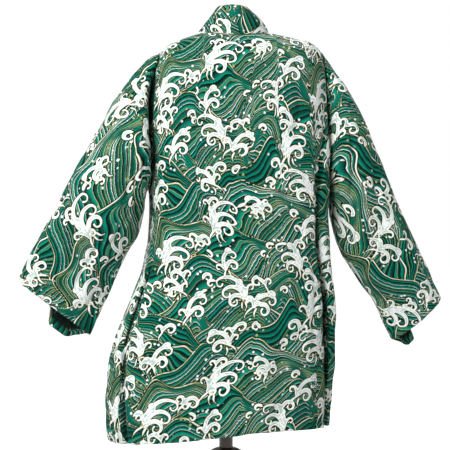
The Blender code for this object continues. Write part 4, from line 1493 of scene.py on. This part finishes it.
def form_points():
    """Rings of the form's torso, from its flat bottom to its shoulder line."""
    turns = np.linspace(0, 2 * math.pi, FORM_TURNS, endpoint=False)
    share = signed_power(np.cos(turns), 2 / FORM_POWER)
    ridge = form_ridge(share)
    height = ridge - FORM_CAP - FORM_BOTTOM_Z
    lower = [FORM_BOTTOM_Z + height * t for t in np.linspace(0, 1, FORM_ROWS, endpoint=False)]
    turned_over = np.linspace(0, FORM_CAP_TURN, FORM_CAP_ROWS)
    upper = [ridge - FORM_CAP * (1 - math.sin(a)) for a in turned_over]
    kept = [1.0] * FORM_ROWS + [math.cos(a) for a in turned_over]
    away = seam_away(turns)
    rings = []
    for z, share_kept in zip(lower + upper, kept):
        depth = np.where(np.sin(turns) > 0, read(FORM, "back", z), read(FORM, "front", z))
        half = read(FORM, "half", z)
        groove = FORM_SEAM_DEPTH * np.exp(-((away * half / FORM_SEAM_WIDTH) ** 2))
        x = FORM_X + (half - groove) * share
        y = (depth - groove) * signed_power(np.sin(turns), 2 / FORM_POWER) * share_kept
        rings.append(np.stack([x, y, z], axis=-1))
    return np.array(rings)


def seam_away(turns):
    """How far each turn is from the nearest of the form's seams."""
    gaps = [np.abs(np.angle(np.exp(1j * (turns - math.radians(seam))))) for seam in FORM_SEAMS]
    return np.min(gaps, axis=0)


def build_form(linen, wood):
    """The form's torso and neck under linen, and the wooden cap on the neck."""
    points = form_points()
    rings, count = points.shape[:2]
    faces = rings_of(rings, count)
    faces.append(list(range(count)))
    top = [(rings - 1) * count + i for i in range(count)]
    for j in range(count // 2):
        corners = (top[j], top[j + 1], top[(count - j - 1) % count], top[(count - j) % count])
        faces.append(list(dict.fromkeys(corners)))
    solid("form_torso_linen", "form_torso", points.reshape(-1, 3), faces, linen)

    roll = [
        (NECK_RADIUS - NECK_ROLL * (1 - math.sin(a)), NECK_TOP_Z - NECK_ROLL * (1 - math.cos(a)))
        for a in np.linspace(0, math.pi / 2, ROUNDED_STEPS)
    ]
    side = [
        (NECK_RADIUS + NECK_FLARE * t**2, NECK_TOP_Z - NECK_ROLL - (NECK_LENGTH - NECK_ROLL) * t)
        for t in np.linspace(0, 1, DOME_STEPS)
    ]
    turned("form_neck_linen", "form_torso", "linen", [*roll, *side[1:]], linen, FORM_X)
    low = NECK_TOP_Z + GAP
    profile = rounded(NECK_RADIUS, low, low + NECK_CAP_HEIGHT, NECK_CAP_EDGE)
    turned("neck_cap_wood", "neck_cap", "dark_wood", profile, wood, FORM_X)


def build_stand(wood, upright):
    """The disc on the table, the domed hub on it and the pole up into the form."""
    disc = rounded(BASE_RADIUS, 0, BASE_HEIGHT, BASE_EDGE)
    turned("stand_base_wood", "stand_base", "dark_wood", disc, wood)
    low = BASE_HEIGHT + GAP
    high = low + HUB_HEIGHT
    hub = dome(HUB_RADIUS, low, high, POLE_RADIUS + HUB_CROWN)
    turned("pole_hub_wood", "pole_hub", "dark_wood", hub, wood)
    heights = np.linspace(FORM_BOTTOM_Z - GAP, high + GAP, DOME_STEPS)
    turned("pole_wood", "pole", "dark_wood", [(POLE_RADIUS, z) for z in heights], upright)


def rounded(radius, low, high, edge):
    """A disc's profile with its upper edge rounded and its lower one bevelled."""
    arc = [
        (radius - edge + edge * math.sin(a), high - edge + edge * math.cos(a))
        for a in np.linspace(0, math.pi / 2, ROUNDED_STEPS)
    ]
    return [*arc, (radius, low + FOOT_CHAMFER), (radius - FOOT_CHAMFER, low)]


def dome(radius, low, high, crown):
    """A dome's profile with a flat crown, on a short upright rim."""
    rim = HUB_RIM * (high - low)
    first = math.asin(crown / radius)
    arc = [
        (radius * math.sin(a), low + rim + (high - low - rim) * (math.cos(a) / math.cos(first)))
        for a in np.linspace(first, math.pi / 2, DOME_STEPS)
    ]
    return [*arc, (radius, low)]


def turned(name, node, slot, profile, finish, x=0.0):
    """A turned solid. The profile runs down its outer side, as (radius, height) pairs."""
    angles = np.linspace(0, 2 * math.pi, TURNED_STEPS, endpoint=False)
    points = [
        (x + radius * math.cos(angle), radius * math.sin(angle), height)
        for radius, height in profile
        for angle in angles
    ]
    faces = rings_of(len(profile), TURNED_STEPS)
    faces.append(list(range(TURNED_STEPS)))
    faces.append(list(range(len(points) - TURNED_STEPS, len(points))))
    made = solid(name, node, points, faces, finish)
    for edge in (0, len(profile) - 1):
        ring = set(range(edge * TURNED_STEPS, (edge + 1) * TURNED_STEPS))
        for line in made.data.edges:
            if set(line.vertices) <= ring:
                line.use_edge_sharp = True


# The studio


def round_about(azimuth, elevation, distance):
    """The place at an azimuth and elevation, in degrees, and a distance from the middle of the view."""
    a, e = math.radians(azimuth), math.radians(elevation)
    away = Vector((math.sin(a) * math.cos(e), -math.cos(a) * math.cos(e), math.sin(e)))
    return MIDDLE_OF_VIEW + away * distance


def aim(thing, target):
    """Points a lamp's or camera's own -Z at the target."""
    thing.rotation_euler = (target - thing.location).to_track_quat("-Z", "Y").to_euler()


def glowing(name, colour, strength, roughness):
    """A plain surface that gives its own white light."""
    light = {"Emission Color": WHITE, "Emission Strength": strength}
    n = Nodes(bpy.data.materials.new(name))
    return n.shaded({"Base Color": colour, "Roughness": roughness, **light})


def build_studio():
    """A pale floor and a white backdrop that light nothing, the sky's light and the lamps."""
    bpy.ops.mesh.primitive_circle_add(vertices=96, radius=STUDIO_RADIUS, fill_type="NGON")
    floor = bpy.context.object
    floor.name = "studio_floor"
    floor.data.materials.append(glowing("studio_floor", FLOOR_GREY, FLOOR_GLOW, roughness=0.9))
    bpy.ops.mesh.primitive_uv_sphere_add(segments=48, ring_count=24, radius=STUDIO_RADIUS)
    backdrop = bpy.context.object
    backdrop.name = "studio_backdrop"
    backdrop.data.materials.append(glowing("studio_backdrop", BLACK, strength=1.0, roughness=1.0))
    floor.visible_diffuse = False
    backdrop.visible_diffuse = False
    backdrop.visible_glossy = False
    backdrop.visible_shadow = False
    bpy.context.scene.world = build_sky()
    bpy.context.scene.view_settings.view_transform = "Standard"
    for name, azimuth, elevation, distance, size, power in LAMPS:
        lamp = bpy.data.lights.new(name, "AREA")
        lamp.size = size
        lamp.energy = power
        shown = bpy.data.objects.new(name, lamp)
        shown.location = round_about(azimuth, elevation, distance)
        aim(shown, MIDDLE_OF_VIEW)
        bpy.context.collection.objects.link(shown)


def build_sky():
    """White light all round, stronger from above."""
    n = Nodes(bpy.data.worlds.new("studio"), "Background")
    direction = n.add("TexCoord", {}).outputs["Generated"]
    limits = {
        "Value": n.add("SeparateXYZ", {0: direction}).outputs["Z"],
        "From Min": -WORLD_BLEND,
        "From Max": WORLD_BLEND,
        "To Min": WORLD_BELOW,
        "To Max": WORLD_ABOVE,
    }
    return n.shaded({"Color": WHITE, "Strength": n.add("MapRange", limits).outputs["Result"]})


def build_camera():
    lens = bpy.data.cameras.new("camera")
    lens.lens = VIEW_LENS
    camera = bpy.data.objects.new("camera", lens)
    away = round_about(VIEW_AZIMUTH, 0, 1) - MIDDLE_OF_VIEW
    target = MIDDLE_OF_VIEW + Vector((away.y, -away.x, 0)) * VIEW_SHIFT
    camera.location = target + away * VIEW_DISTANCE
    aim(camera, target)
    bpy.context.collection.objects.link(camera)
    bpy.context.scene.camera = camera


STRAND, CREST, ROOM = hills()
FOAM_EDGE, FOAM_LINE = foam()

build_jacket()
wood = wood_finish("dark_wood", WOOD_LYING)
build_form(linen_finish(), wood)
build_stand(wood, wood_finish("dark_wood_upright", WOOD_UPRIGHT))
build_studio()
build_camera()
